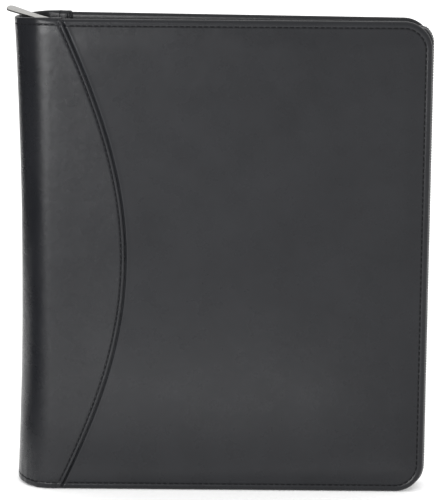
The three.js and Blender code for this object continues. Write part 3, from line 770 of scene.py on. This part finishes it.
def zip_path_s(step):
    a = ZR - ZC - ZX0
    q = ZC * math.pi / 2
    v = H - 2 * (ZIP_INSET + ZC)
    stops = [0, a, a + q, a + q + v, a + 2 * q + v, ZLEN]
    out = []
    for k, (s0, s1) in enumerate(zip(stops[:-1], stops[1:])):
        n = max(2, int(math.ceil((s1 - s0) / (step if k % 2 == 0 else 1.3))))
        out += list(np.linspace(s0, s1, n + 1)[:-1])
    return out + [ZLEN]


def cover_inside(x):
    return CH - (x - CRX) * math.tan(TILT) - COVER_T / C_ - 0.35


def build_zip(side):
    sgn = -1.0 if side == "front" else 1.0
    body = side + "_cover"
    ss = zip_path_s(4.0)
    rows = zip_rows(ss)
    # tape: woven band, slightly dished, with a corded inner edge
    ys = [1.7, 2.0, 2.4, 3.4, 4.8, 6.4, 8.0, 9.2, 9.9, 10.5]
    prof = [-0.25, 0.10, 0.30, 0.02, -0.10, -0.16, -0.12, -0.02, 0.06, 0.0]
    V = []
    for i, (x, z, nx, nz, *_r) in enumerate(rows):
        w = 0.10 * math.sin(ss[i] * 0.21) + 0.07 * math.sin(ss[i] * 0.083 + 1.3)
        for y, p in zip(ys, prof):
            o = p + w * (y / 10.5)
            V.append((x + nx * o, sgn * y, z + nz * o))
    ob = make("zip_tape_skin_" + side, V, grid_faces(len(rows), len(ys)), M["zip_tape"], body=body, reps=["zip_tape_" + side], ref=(ZX0 + 120, 0, 168))
    solidify(ob, 0.8)
    # gusset: from the tape to the cover lining, bellied outwards
    V = []
    nv = 12
    for i, (x, z, nx, nz, cx, cz, ox, oz) in enumerate(rows):
        y0, y1 = 10.2, cover_inside(min(max(cx, CRX + 0.5), 1e9)) + 0.2
        for j in range(nv):
            t = j / (nv - 1)
            y = y0 + (y1 - y0) * t
            belly = 0.9 * math.sin(math.pi * t) * (y1 - y0) / 16
            wave = 0.16 * math.sin(ss[i] * 0.11 + 2.0) * math.sin(math.pi * t)
            k = 1 - float(smooth(t))
            off = belly + wave
            V.append((cx + ox * k + nx * off, sgn * y, cz + oz * k + nz * off))
    ob = make(side + "_gusset_skin", V, grid_faces(len(rows), nv), M["gusset"], body=body, reps=[side + "_gusset"], ref=(ZX0 + 120, 0, 168))
    solidify(ob, 0.7)
    # the coil: rounded elements, the two sides interleaved
    pitch = 1.9
    n = int(ZLEN / pitch)
    shift = 0.0 if side == "front" else 0.5
    nu, nw = 8, 5
    one = []
    for j in range(nw + 1):
        th = math.pi * j / nw
        for k in range(nu):
            ph = 2 * math.pi * k / nu
            one.append((0.62 * math.sin(th) * math.cos(ph), 1.45 * math.cos(th), 1.0 * math.sin(th) * math.sin(ph)))
    one = np.array(one)
    fone = [(j * nu + k, j * nu + (k + 1) % nu, (j + 1) * nu + (k + 1) % nu, (j + 1) * nu + k) for j in range(nw) for k in range(nu)]
    V, F = [], []
    for i in range(n):
        s = (i + 0.25 + shift) * pitch
        if s > ZLEN - 0.5:
            break
        x, z, nx, nz = zip_line(s)
        ox, oz = zip_swell(x, z)
        o = 0.15
        tx, tz = nz, -nx
        c = np.array([x + ox + nx * o, sgn * 1.15, z + oz + nz * o])
        p = c + one[:, 0:1] * np.array([tx, 0, tz]) + one[:, 1:2] * np.array([0, 1, 0]) + one[:, 2:3] * np.array([nx, 0, nz])
        F += [tuple(q + len(V) * len(one) for q in f) for f in fone]
        V.append(p)
    make("zip_coil_" + side, np.concatenate(V), F, M["zip_coil"], body=body, reps=["zip_chain_" + side])


for side in ("front", "back"):
    build_zip(side)

# ------------------------------------------------------------------ linings, pockets and window inside the covers
def look_in(ob, side):
    """Turn a cover piece's faces to look into the case."""
    sgn = 1 if side == "front" else -1
    if sum(p.normal.y * p.area for p in ob.data.polygons) * sgn < 0:
        ob.data.flip_normals()


def sew(pts, side, pitch=3.6, length=2.6, r=0.26, lift=0.10):
    """Stitches along a run of cover points (x, y, z)."""
    P = np.asarray(pts, float)
    seg = np.linalg.norm(np.diff(P, axis=0), axis=1)
    s = np.concatenate([[0], np.cumsum(seg)])
    n = max(2, int(s[-1] / pitch))
    at = (np.arange(n) + 0.5) * s[-1] / n
    q, qa, qb = (np.stack([np.interp(at + o, s, P[:, k]) for k in range(3)], 1) for o in (0, -0.3, 0.3))
    q = q + np.array([0, lift, 0])
    W = cover_pt(q, side)
    T = cover_pt(qb, side) - cover_pt(qa, side)
    N = cover_pt(q + np.array([0, 1.0, 0]), side) - W
    return capsules(W, T, N, length, r)


HEM = [4.1, 3.75, 3.45, 3.2, 2.95, 2.7, 2.4, 2.0, 1.5, 1.05, 0.7, 0.42, 0.22, 0.08, 0.0, 0.0]


def mouth(x, z, x0, x1, z1, lift):
    t = np.clip((x - x0) / (x1 - x0), 0, 1)
    return lift * np.sin(math.pi * t) ** 0.8 * np.exp(-(((z1 - z) / 13.0) ** 2))


def pocket(node_name, side, x0, x1, z0, z1, base, top, lift=0.35, puff=0.35, seed=0.0, rise_from=0.0):
    r = 4.6
    xs, zs = np.linspace(x0 + r, x1 - r, max(12, int((x1 - x0) / 5))), np.linspace(z0 + r, z1 - r, max(10, int((z1 - z0) / 5)))
    X, Z, D, R, F, _ = rounded_grid(x0, x1, z0, z1, r, HEM, xs, zs, 7)
    e = np.sqrt(np.clip(1 - (1 - np.minimum(D, 0.6) / 0.6) ** 2, 0, 1))
    Y = base + (top - base) * e - 0.16 * gauss(D, 2.95, 0.42) * e + 0.07 * gauss(D, 1.6, 0.8) * e
    Y = Y + (puff * smooth((D - 3) / 16) * smooth((z1 - Z) / 6)) * (1 - rise_from * smooth((Z - z0) / (z1 - z0)))
    Y = Y + 0.06 * np.sin(X * 0.11 + seed) * np.sin(Z * 0.083 + 1.7 * seed) * smooth((D - 3) / 8)
    Y = Y + mouth(X, Z, x0, x1, z1, lift)
    Y = np.where(R == len(HEM) - 1, base - 0.05, Y)
    parts = [(np.stack([X, Y, Z], 1), F)]
    # bound mouth: a folded tape over the top edge
    n = max(24, int((x1 - x0) / 3))
    sec = [(-4.6, 0.02), (-4.5, 0.22), (-4.2, 0.36), (-3.6, 0.43), (-3.1, 0.30), (-2.6, 0.43), (-1.6, 0.48), (-0.7, 0.42), (-0.1, 0.25), (0.2, -0.05), (0.3, -0.4), (0.15, -0.72)]
    V = []
    for i in range(n + 1):
        x = x0 + 0.25 + (x1 - x0 - 0.5) * i / n
        cap = float(np.clip(min(i, n - i) / 1.0, 0, 1))
        m = float(mouth(np.array(x), np.array(z1), x0, x1, z1, lift)) + 0.035 * math.sin(x * 0.9 + seed)
        for dz, dy in sec:
            V.append((x, top + (dy if dy < 0.1 else 0.06 + dy * (0.55 + 0.45 * cap)) + m, z1 + dz))
    parts.append((V, grid_faces(n + 1, len(sec))))
    V, F = merge(parts)
    ob = make(node_name + "_skin", cover_pt(V, side), F, M["pocket_cloth"], body=side + "_cover", reps=[node_name])
    look_in(ob, side)
    solidify(ob, 0.42)
    d = 2.95
    yy = top - 0.10
    run = [(x0 + d, yy, z) for z in np.linspace(z1 - 7, z0 + 4.6, 30)]
    run += [(x0 + 4.6 - (4.6 - d) * math.cos(a), yy, z0 + 4.6 - (4.6 - d) * math.sin(a)) for a in np.linspace(0.2, 1.4, 5)]
    run += [(x, yy, z0 + d) for x in np.linspace(x0 + 4.6, x1 - 4.6, 30)]
    run += [(x1 - 4.6 + (4.6 - d) * math.sin(a), yy, z0 + 4.6 - (4.6 - d) * math.cos(a)) for a in np.linspace(0.2, 1.4, 5)]
    run += [(x1 - d, yy, z) for z in np.linspace(z0 + 4.6, z1 - 7, 30)]
    m1 = lambda x: float(mouth(np.array(x), np.array(z1), x0, x1, z1, lift))
    top_run = [(x, top + 0.30 + m1(x), z1 - 3.1) for x in np.linspace(x0 + 1.5, x1 - 1.5, 40)]
    parts = [sew(run, side), sew(top_run, side)]
    for xb in (x0 + 2.0, x1 - 2.0):  # bar tacks at the mouth's ends
        parts.append(sew([(xb, top + 0.42, z1 - 4.6), (xb, top + 0.42, z1 + 0.2)], side, pitch=1.1, length=1.2, r=0.30))
    V, F = merge(parts)
    make(node_name + "_stitches", V, F, M["thread"], body=side + "_cover")


def build_lining(side):
    ds = [14.0, 10.0, 7.0, 5.2] + HEM
    xs = np.concatenate([[1.2, 2.5, 4.5, 7.0, 10.0, 14.0], np.linspace(20, L - 6.5 - 16, 46)])
    zs = np.linspace(6.5 + 16, H - 6.5 - 16, 52)
    X, Z, D, R, F, _ = rounded_grid(1.2, L - 6.5, 6.5, H - 6.5, 16, ds, xs, zs, 10, left_open=True)
    e = np.sqrt(np.clip(1 - (1 - np.minimum(D, 0.5) / 0.5) ** 2, 0, 1))
    k = 0.4 if side == "front" else 1.9
    Y = 5.32 + 0.40 * e - 0.12 * gauss(D, 2.95, 0.45) * e
    Y = Y + 0.07 * np.sin(X * 0.053 + k) * np.sin(Z * 0.041 + 2 * k) * smooth((D - 3) / 12) * smooth((X - 4) / 12)
    Y = np.where(R == len(ds) - 1, 5.25, Y)
    ob = make(side + "_lining_skin", cover_pt(np.stack([X, Y, Z], 1), side), F, M["lining"], body=side + "_cover", reps=[side + "_lining"])
    look_in(ob, side)
    solidify(ob, 0.5)


for side in ("front", "back"):
    build_lining(side)
pocket("file_pocket", "front", 16, 252, 14, 176, IN, IN + 0.8, lift=0.9, puff=0.7, seed=0.3)
pocket("card_pocket_top", "front", 30, 128, 196, 296, IN, IN + 0.7, lift=0.15, puff=0.12, seed=1.1)
pocket("card_pocket_middle", "front", 30, 128, 196, 280, IN + 1, IN + 1.7, lift=0.15, puff=0.12, seed=2.3)
pocket("card_pocket_bottom", "front", 30, 128, 196, 264, IN + 2, IN + 2.7, lift=0.45, puff=0.5, seed=3.7)
pocket("pad_pocket", "back", 62, 252, 14, 150, IN, IN + 0.8, lift=0.9, puff=0.7, seed=4.2)


def build_window():
    x0, x1, z0, z1, r = 140, 222, 206, 286, 8.8
    prof = [(0.0, 5.72), (0.0, 6.5), (0.10, 6.85), (0.35, 7.08), (0.8, 7.2), (1.4, 7.22), (2.0, 7.16), (2.4, 7.0), (2.8, 7.16), (3.4, 7.24), (4.6, 7.27), (6.2, 7.24), (7.2, 7.16), (7.65, 7.0), (7.85, 6.7), (7.9, 6.3), (7.9, 5.95)]
    cols = []
    for cx, cz, a0 in ((x1 - r, z1 - r, 90), (x1 - r, z0 + r, 0), (x0 + r, z0 + r, -90), (x0 + r, z1 - r, -180)):
        cols += [(cx, cz, math.radians(a0 - 90 * k / 9)) for k in range(10)]
    V = []
    for cx, cz, a in cols:
        for d, y in prof:
            V.append((cx + math.cos(a) * (r - d), y, cz + math.sin(a) * (r - d)))
    F = grid_faces(len(cols), len(prof), wrap_u=True)
    ob = make("id_window_frame_skin", cover_pt(V, "front"), F, M["trim_leather"], body="front_cover", reps=["id_window_frame"])
    look_in(ob, "front")
    solidify(ob, 0.5)
    run = []
    for cx, cz, a in cols + cols[:1]:
        run.append((cx + math.cos(a) * (r - 2.4), 6.98, cz + math.sin(a) * (r - 2.4)))
    dense = []
    for p, q in zip(run[:-1], run[1:]):
        dense += [tuple(np.array(p) + (np.array(q) - np.array(p)) * t) for t in np.linspace(0, 1, 8)[:-1]]
    V, F = sew(dense, "front", pitch=3.4, length=2.4, r=0.26)
    make("id_window_stitches", V, F, M["thread"], body="front_cover")
    # the clear sheet, faintly rippled, its edges under the frame
    nx, nz = 40, 40
    V = []
    for i in range(nx + 1):
        for j in range(nz + 1):
            x, z = 142 + 78 * i / nx, 208 + 76 * j / nz
            V.append((x, 6.05 + 0.10 * math.sin(x * 0.13 + z * 0.05) + 0.07 * math.sin(z * 0.17 - x * 0.04), z))
    ob = make("id_window_film", cover_pt(V, "front"), grid_faces(nx + 1, nz + 1), M["clear_film"], body="front_cover", reps=["id_window"])
    look_in(ob, "front")
    solidify(ob, 0.2)


build_window()


def build_pen_loop():
    cx, z0, z1 = 238.0, 226.0, 262.0
    path = [(cx - 10.0, IN + 0.25), (cx - 9.8, IN + 0.75), (cx - 9.3, IN + 1.0), (cx - 8.2, IN + 1.0), (cx - 7.4, IN + 1.05)]
    path += [(cx + 6.6 * math.cos(a), IN + 1.0 + 9.2 * math.sin(a)) for a in np.linspace(math.pi - 0.16, 0.16, 26)]
    path += [(2 * cx - x, y) for x, y in path[4::-1]]
    path = np.array(path)
    nz = 22
    V = []
    for i, (x, y) in enumerate(path):
        for j in range(nz + 1):
            t = j / nz
            edge = 0.16 * (gauss(t, 0.03, 0.03) + gauss(t, 0.97, 0.03))
            arch = max(0.0, y - IN - 1.0) / 9.2
            V.append((cx + (x - cx) * (1 - 0.03 * arch * math.sin(math.pi * t)), y + edge + 0.10 * arch * math.sin(7 * t + i * 0.2), z0 + (z1 - z0) * t + 0.25 * arch * math.sin(i * 0.3)))
    ob = make("pen_loop_skin", cover_pt(V, "front"), grid_faces(len(path), nz + 1), M["elastic"], body="front_cover", reps=["pen_loop"], ref=cover_pt([[cx, IN + 3.0, 244]], "front")[0])
    solidify(ob, 0.9)
    parts = []
    for xs in (cx - 8.6, cx + 8.6):
        parts.append(sew([(xs, IN + 1.0, z0 + 1.5), (xs, IN + 1.0, z1 - 1.5)], "front", pitch=2.4, length=2.0, r=0.28))
    V, F = merge(parts)
    make("pen_loop_stitches", V, F, M["thread"], body="front_cover")


build_pen_loop()


# the spine's lining: from one cover's lining, down into the gutter and across the spine
def lining_columns():
    gut = [(10.0, 0.0), (8.0, 0.02), (6.0, 0.06), (4.0, 0.18), (2.2, 0.42), (0.6, 0.85), (-1.0, 1.35), (-2.8, 1.85), (-4.6, 2.2), (-6.4, 2.4)]
    cols = [("front", g) for g in gut]
    cols += [("phi", p) for p in sorted(set([-68.0, -64.0, -60.0] + [p for p in phi_list() if abs(p) < 58] + [60.0, 64.0, 68.0]))]
    cols += [("back", g) for g in gut[::-1]]
    return cols


LCOLS = lining_columns()
LZP = [7.0, 7.02, 7.1, 7.3, 7.7, 8.4, 9.2, 9.8, 10.3, 10.9, 12.0, 13.5, 15.5, 18.5, 24, 34, 48, 66, 88, 112, 140, 168]
LDROP = [0.45, 0.2, 0.08, 0.02, 0, 0, 0.05, 0.14, 0.05, 0, 0, 0, 0, 0, 0, 0, 0, 0, 0, 0, 0, 0]


def lining_column_points(col):
    out = []
    for end in (1, 0):
        for zp, drop in zip(LZP, LDROP):
            z = H - zp if end else zp
            over = float(1 - smooth((zp - 11.5) / 5.0))
            if col[0] == "phi":
                x, y, nx, ny = (float(q) for q in skin_point(("phi", col[1]), np.array(z), np.array(40.0)))
                R, dip = col_roll(("phi", col[1]))
                dep = 2.7 + 1.1 * float(smooth((27 - abs(col[1])) / 10))
                dep = dep + (max(dep, 2 * R + 0.75) - dep) * over - drop
                out.append((x - nx * dep, y - ny * dep, z))
            else:
                gx, gy = col[1]
                sgn = -1.0 if col[0] == "front" else 1.0
                wy = CH - 5.95 - max(gx, 0) * math.tan(TILT) + gy - 0.55 * over * float(smooth((5 - gx) / 4)) + drop * 0.8
                out.append((CRX + gx - 0.3, sgn * wy, z))
    k = len(LZP)
    return np.array(out[:k] + out[k:][:-1][::-1])


LSK = np.array([lining_column_points(c) for c in LCOLS])
LNV = LSK.shape[1]
lphi = lambda p: next(i for i, c in enumerate(LCOLS) if c[0] == "phi" and abs(c[1] - p) < 1e-6)
LCUTS = [0, lphi(-54.0), lphi(0.0), lphi(54.0), len(LCOLS) - 1]
LNAMES = ["spine_lining_skin_front", "spine_lining_skin_mid_front", "spine_lining_skin_mid_back", "spine_lining_skin_back"]
LREPS = ["spine_lining_front", "spine_lining_middle", "spine_lining_middle", "spine_lining_back"]
for i in range(4):
    sub = LSK[LCUTS[i]: LCUTS[i + 1] + 1]
    ob = make(LNAMES[i], sub.reshape(-1, 3), grid_faces(len(sub), LNV), M["lining"], reps=[LREPS[i]])
    f = ob.data.polygons[(len(sub) // 2) * (LNV - 1) + LNV // 2]
    mid = sub[len(sub) // 2, LNV // 2]
    want = Vector((CRX + 60 - mid[0], -mid[1], 0))
    if f.normal.dot(want) < 0:
        ob.data.flip_normals()
    solidify(ob, 0.5)
    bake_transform(ob)

# ------------------------------------------------------------------ ring mechanism and zip hardware

def refined(node_name, body, slot, mm, seg=3, sharp=32):
    """A softened copy of a hard part: same shape, its corners broken and catching the light."""
    src = frame["nodes"][node_name]
    mw = src.matrix_world
    bm = bmesh.new()
    bm.from_mesh(src.data)
    bmesh.ops.transform(bm, matrix=mw, verts=bm.verts)
    bmesh.ops.remove_doubles(bm, verts=bm.verts, dist=2e-6)
    bmesh.ops.dissolve_limit(bm, angle_limit=math.radians(2), verts=bm.verts, edges=bm.edges)
    me = bpy.data.meshes.new(node_name + "_made")
    bm.to_mesh(me)
    bm.free()
    me.materials.clear()
    me.materials.append(M[slot])
    me.polygons.foreach_set("use_smooth", [True] * len(me.polygons))
    me.set_sharp_from_angle(angle=math.radians(sharp))
    ob = bpy.data.objects.new(node_name + "_made", me)
    bpy.context.scene.collection.objects.link(ob)
    bevel(ob, mm, seg, sharp)
    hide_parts(node_name)
    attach(ob, body)
    OBJ[node_name + "_made"] = ob
    return ob


refined("ring_base_plate", "back_cover", "ring_metal", 0.35)
refined("rivet_top", "back_cover", "rivet_metal", 0.25)
refined("rivet_bottom", "back_cover", "rivet_metal", 0.25)
refined("lever_top", "top_lever", "ring_metal", 0.45, 4)
refined("lever_bottom", "bottom_lever", "ring_metal", 0.45, 4)
refined("zip_slider", "slider", "zip_metal", 0.16, 3)
refined("slider_bail", "slider", "zip_metal", 0.16, 3)
refined("zip_stop", "back_cover", "zip_metal", 0.16, 3)


def ring_pt(u, h, z):
    return cover_pt([[27 + u, IN + h, z]], "back")[0]


def tube(path, r, n=16):
    path = [np.array(p, float) for p in path]
    rows = []
    for i, p in enumerate(path):
        t = path[min(i + 1, len(path) - 1)] - path[max(i - 1, 0)]
        t = t / np.linalg.norm(t)
        b = np.array([0, 0, 1.0])
        a = np.cross(t, b)
        a /= np.linalg.norm(a)
        rows.append([p + r * (a * math.cos(2 * math.pi * k / n) + b * math.sin(2 * math.pi * k / n)) for k in range(n)])
    V = [q for row in rows for q in row]
    F = [(i * n + k, i * n + (k + 1) % n, (i + 1) * n + (k + 1) % n, (i + 1) * n + k) for i in range(len(rows) - 1) for k in range(n)]
    F += [tuple(range(n))[::-1], tuple((len(rows) - 1) * n + k for k in range(n))]
    return V, F


for which in ("right", "left"):
    src = frame["nodes"]["ring_half_" + which]
    pts = np.array([(src.matrix_world @ v.co)[:2] for v in src.data.vertices]) / MM
    centre = cover_pt([[27, IN, 0]], "back")[0]
    along = (pts - centre[:2]) @ np.array([C_, -S_])
    s = 1.0 if along.mean() > 0 else -1.0
    parts = []
    for z in (60, 168, 276):
        path = [ring_pt(s * 4.6, 1.7, z), ring_pt(s * 4.9, 2.2, z), ring_pt(s * 5.3, 2.9, z)]
        for a in np.linspace(-68, 89.2, 44):
            a = math.radians(a)
            path.append(ring_pt(s * max(17.5 * math.cos(a), 0) + s * 0.2, 20.5 + 17.5 * math.sin(a), z))
        parts.append(tube(path, 1.8, 18))
    x0, x1 = sorted((s * 2.4, s * 7.0))
    V = [ring_pt(u, h, z) for z in (39, 297) for u, h in ((x0, 1.2), (x1, 1.2), (x1, 2.2), (x0, 2.2))]
    parts.append((V, [(0, 1, 2, 3), (7, 6, 5, 4), (0, 4, 5, 1), (1, 5, 6, 2), (2, 6, 7, 3), (3, 7, 4, 0)]))
    for k, (V, F) in enumerate(parts):  # each shell faces out
        V = np.asarray(V, float)
        vol = sum(float(np.dot(V[f[0]] - V[0], np.cross(V[f[j]] - V[0], V[f[j + 1]] - V[0]))) for f in F for j in range(1, len(f) - 1))
        if vol < 0:
            parts[k] = (V, [tuple(f)[::-1] for f in F])
    V, F = merge(parts)
    ob = make("ring_wires_" + which, V, F, M["ring_metal"], body="ring_" + which, reps=["ring_half_" + which], sharp=40)
    bevel(ob, 0.2, 2, 60)

# ------------------------------------------------------------------ pull: a flat bevelled bar on an eye
PIV = np.array([-120 + SX, 0, 330.9])
YAW, RISE, PL, TWIST = math.radians(26.5), math.radians(12.3), 40.2, math.radians(20)


def build_pull():
    u = np.array([-math.cos(YAW) * math.cos(RISE), math.sin(YAW) * math.cos(RISE), math.sin(RISE)])
    v = np.array([math.sin(YAW), math.cos(YAW), 0.0])
    w = np.cross(u, v)
    if w[2] < 0:
        w = -w
    v, w = v * math.cos(TWIST) + w * math.sin(TWIST), w * math.cos(TWIST) - v * math.sin(TWIST)  # it lies loose, its near side lower
    # outline along u: half width and half thickness
    parts = []
    us = [4.8, 6.2, 8.0, 10.0, 14, 18, 22, 26, 30, 33, 36, 37.6, 38.7, 39.5, 39.95, 40.2]
    hw = [3.2, 3.1, 2.8, 2.55, 2.45, 2.6, 2.8, 3.0, 3.2, 3.35, 3.45, 3.4, 3.15, 2.6, 1.9, 1.1]
    th = 0.95
    nr = 16
    rows = []
    for a, b in zip(us, hw):
        ring = []
        for k in range(nr):
            q = 2 * math.pi * k / nr
            cq, sq = math.cos(q), math.sin(q)
            # superellipse section
            yy = b * math.copysign(abs(cq) ** 0.35, cq)
            zz = th * math.copysign(abs(sq) ** 0.45, sq)
            dish = -0.18 * (1 - (yy / b) ** 2) * (1 if zz > 0 else 0) * float(smooth((a - 9) / 4)) * float(smooth((37 - a) / 4))
            ring.append(PIV + u * a + v * yy + w * (zz + dish))
        rows.append(ring)
    V = [p for r in rows for p in r]
    F = [(i * nr + k, i * nr + (k + 1) % nr, (i + 1) * nr + (k + 1) % nr, (i + 1) * nr + k) for i in range(len(rows) - 1) for k in range(nr)]
    F += [tuple(range(nr))[::-1], tuple((len(rows) - 1) * nr + k for k in range(nr))]
    parts.append((V, F))
    # arms of the eye and its cross bar, as rounded rods
    def rod(pts, r, n=12):
        pts = [np.array(p, float) for p in pts]
        rows_ = []
        for i, p in enumerate(pts):
            t = pts[min(i + 1, len(pts) - 1)] - pts[max(i - 1, 0)]
            t = t / np.linalg.norm(t)
            a_ = np.cross(t, w)
            if np.linalg.norm(a_) < 1e-6:
                a_ = v
            a_ = a_ / np.linalg.norm(a_)
            b_ = np.cross(t, a_)
            rows_.append([p + r * (a_ * math.cos(2 * math.pi * k / n) + b_ * math.sin(2 * math.pi * k / n)) for k in range(n)])
        V_ = [q for rr in rows_ for q in rr]
        F_ = [(i * n + k, i * n + (k + 1) % n, (i + 1) * n + (k + 1) % n, (i + 1) * n + k) for i in range(len(rows_) - 1) for k in range(n)]
        F_ += [tuple(range(n))[::-1], tuple((len(rows_) - 1) * n + k for k in range(n))]
        return V_, F_
    loop = [PIV + u * 5.6 + v * 2.9, PIV + u * 3.4 + v * 2.95, PIV + u * 1.4 + v * 2.8, PIV + u * 0.5 + v * 2.35, PIV + v * 1.5, PIV, PIV - v * 1.5, PIV + u * 0.5 - v * 2.35, PIV + u * 1.4 - v * 2.8, PIV + u * 3.4 - v * 2.95, PIV + u * 5.6 - v * 2.9]
    parts.append(rod(loop, 0.62))
    V, F = merge(parts)
    ob = make("pull_bar", V, F, M["pull_metal"], body="pull", reps=["pull_tab"], closed=True, sharp=40)
    return ob


build_pull()

# ------------------------------------------------------------------ floor, light and camera
def build_stage():
    me = bpy.data.meshes.new("floor")
    s = 14.0
    me.from_pydata([(-s, -s, 0), (s, -s, 0), (s, s, 0), (-s, s, 0)], [], [(0, 1, 2, 3)])
    ob = bpy.data.objects.new("floor", me)
    bpy.context.scene.collection.objects.link(ob)
    m, nt, b = principled("floor", (0.93, 0.93, 0.93), 0.75, spec=0.2)
    v = object_coords(nt)
    n = noise(nt, v, 300, 3, 0.5)
    nt.links.new(remap(nt, n.outputs["Fac"], 0.7, 0.8), b.inputs["Roughness"])
    me.materials.append(m)


build_stage()
world = bpy.data.worlds.new("studio")
bpy.context.scene.world = world
world.use_nodes = True
bg = world.node_tree.nodes["Background"]
bg.inputs["Color"].default_value = (1.0, 1.0, 1.0, 1)
bg.inputs["Strength"].default_value = 0.97
world.cycles.sampling_method = "NONE"


def area(name, loc, target, size, power, color=(1, 1, 1), spread=180):
    li = bpy.data.lights.new(name, "AREA")
    li.shape = "RECTANGLE"
    li.size, li.size_y = size
    li.energy = power
    li.color = color
    li.spread = math.radians(spread)
    ob = bpy.data.objects.new(name, li)
    ob.location = loc
    d = Vector(target) - Vector(loc)
    ob.rotation_mode = "QUATERNION"
    ob.rotation_quaternion = d.to_track_quat("-Z", "Y")
    bpy.context.scene.collection.objects.link(ob)
    ob.visible_camera = False
    return ob


key = area("key", (-0.585, -1.107, 0.53), (-0.12, 0, 0.53), (0.688, 0.60), 17.0)
area("low_bounce", (-0.08, -0.265, 0.004), (-0.08, -0.265, 1.0), (0.40, 0.12), 0.44)
area("contact_fill", (0.0, -0.060, 0.003), (0.0, -0.060, 1.0), (0.30, 0.035), 0.018)


def sky(name, strength, angle, shadow):
    """A wide soft light from above, to carry the floor to white."""
    li = bpy.data.lights.new(name, "SUN")
    li.energy = strength
    li.angle = math.radians(angle)
    li.use_shadow = shadow
    ob = bpy.data.objects.new(name, li)
    ob.rotation_euler = (math.radians(12), 0, 0)
    bpy.context.scene.collection.objects.link(ob)
    return ob


def only(light, state):
    """Light linking: the floor alone (INCLUDE), or all but the floor (EXCLUDE)."""
    col = bpy.data.collections.new("linked_" + light.name)
    light.light_linking.receiver_collection = col
    col.objects.link(bpy.data.objects["floor"])
    col.collection_objects[0].light_linking.link_state = state


sky("sky", 0.20, 120, True)
only(sky("floor_fill", 1.9, 120, False), "INCLUDE")
only(key, "EXCLUDE")


def flag(name, x, y0, y1, z1):
    """A black studio flag that only darkens reflections on the left side."""
    me = bpy.data.meshes.new(name)
    n = 8
    V = [(x + 0.01 * math.sin(i), y0 + (y1 - y0) * i / n, z) for i in range(n + 1) for z in (0.002, z1)]
    me.from_pydata(V, [], [(2 * i, 2 * i + 2, 2 * i + 3, 2 * i + 1) for i in range(n)])
    ob = bpy.data.objects.new(name, me)
    bpy.context.scene.collection.objects.link(ob)
    me.materials.append(M_FLAG)
    ob.visible_camera = False
    ob.visible_diffuse = False
    ob.visible_shadow = False
    ob.visible_transmission = False


M_FLAG = speckle("flag_cloth", (0.010, 0.010, 0.010), (0.02, 0.02, 0.02), 0.95, 200, 0.05)
flag("flag_left", -0.62, -0.46, 0.75, 0.9)


def floor_flag(name, x0, x1, y0, y1):
    """A dark card on the floor beside the spine, seen only in its reflection."""
    me = bpy.data.meshes.new(name)
    me.from_pydata([(x0, y0, 0.0012), (x1, y0, 0.0012), (x1, y1, 0.0012), (x0, y1, 0.0012)], [], [(0, 1, 2, 3)])
    ob = bpy.data.objects.new(name, me)
    bpy.context.scene.collection.objects.link(ob)
    me.materials.append(M_FLAG)
    ob.visible_camera = False
    ob.visible_diffuse = False
    ob.visible_shadow = False
    ob.visible_transmission = False


floor_flag("flag_floor", -0.62, -0.24, -0.40, 0.08)

cam = bpy.data.cameras.new("camera")
cam_ob = bpy.data.objects.new("camera", cam)
bpy.context.scene.collection.objects.link(cam_ob)
bpy.context.scene.camera = cam_ob
F_PX = 2356.0
cam.sensor_width = 36.0
cam.lens = F_PX / 500 * 36.0
cam.clip_start, cam.clip_end = 0.05, 100
LOC = np.array([100.511 + (SX - 3.5039302868858897), -1646.964, 480.764]) * MM
ROLL = math.radians(0.43)
back = np.array([0.05888432, -0.98019159, 0.18909544])
fwd = -back / np.linalg.norm(back)
right = np.cross(fwd, [0, 0, 1])
right /= np.linalg.norm(right)
up = np.cross(right, fwd)
# aim a little higher so that the axis falls in the middle of the frame
u0, v0 = 219.5 - 219.9, 250.0 - 259.8
cr, sr = math.cos(ROLL), math.sin(ROLL)
a_, b_ = cr * u0 + sr * v0, -sr * u0 + cr * v0
fwd2 = fwd * F_PX + right * a_ - up * b_
fwd2 /= np.linalg.norm(fwd2)
# picture-right direction: moving du at dv = 0 gives a = cr, b = -sr
pr = right * cr + up * sr
pr = pr - fwd2 * (pr @ fwd2)
pr /= np.linalg.norm(pr)
pu = np.cross(pr, fwd2)
rot = Matrix(((pr[0], pu[0], -fwd2[0]), (pr[1], pu[1], -fwd2[1]), (pr[2], pu[2], -fwd2[2])))
cam_ob.rotation_mode = "QUATERNION"
cam_ob.location = LOC
cam_ob.rotation_quaternion = rot.to_quaternion()

bpy.context.scene.view_settings.view_transform = "Standard"
bpy.context.scene.view_settings.look = "None"
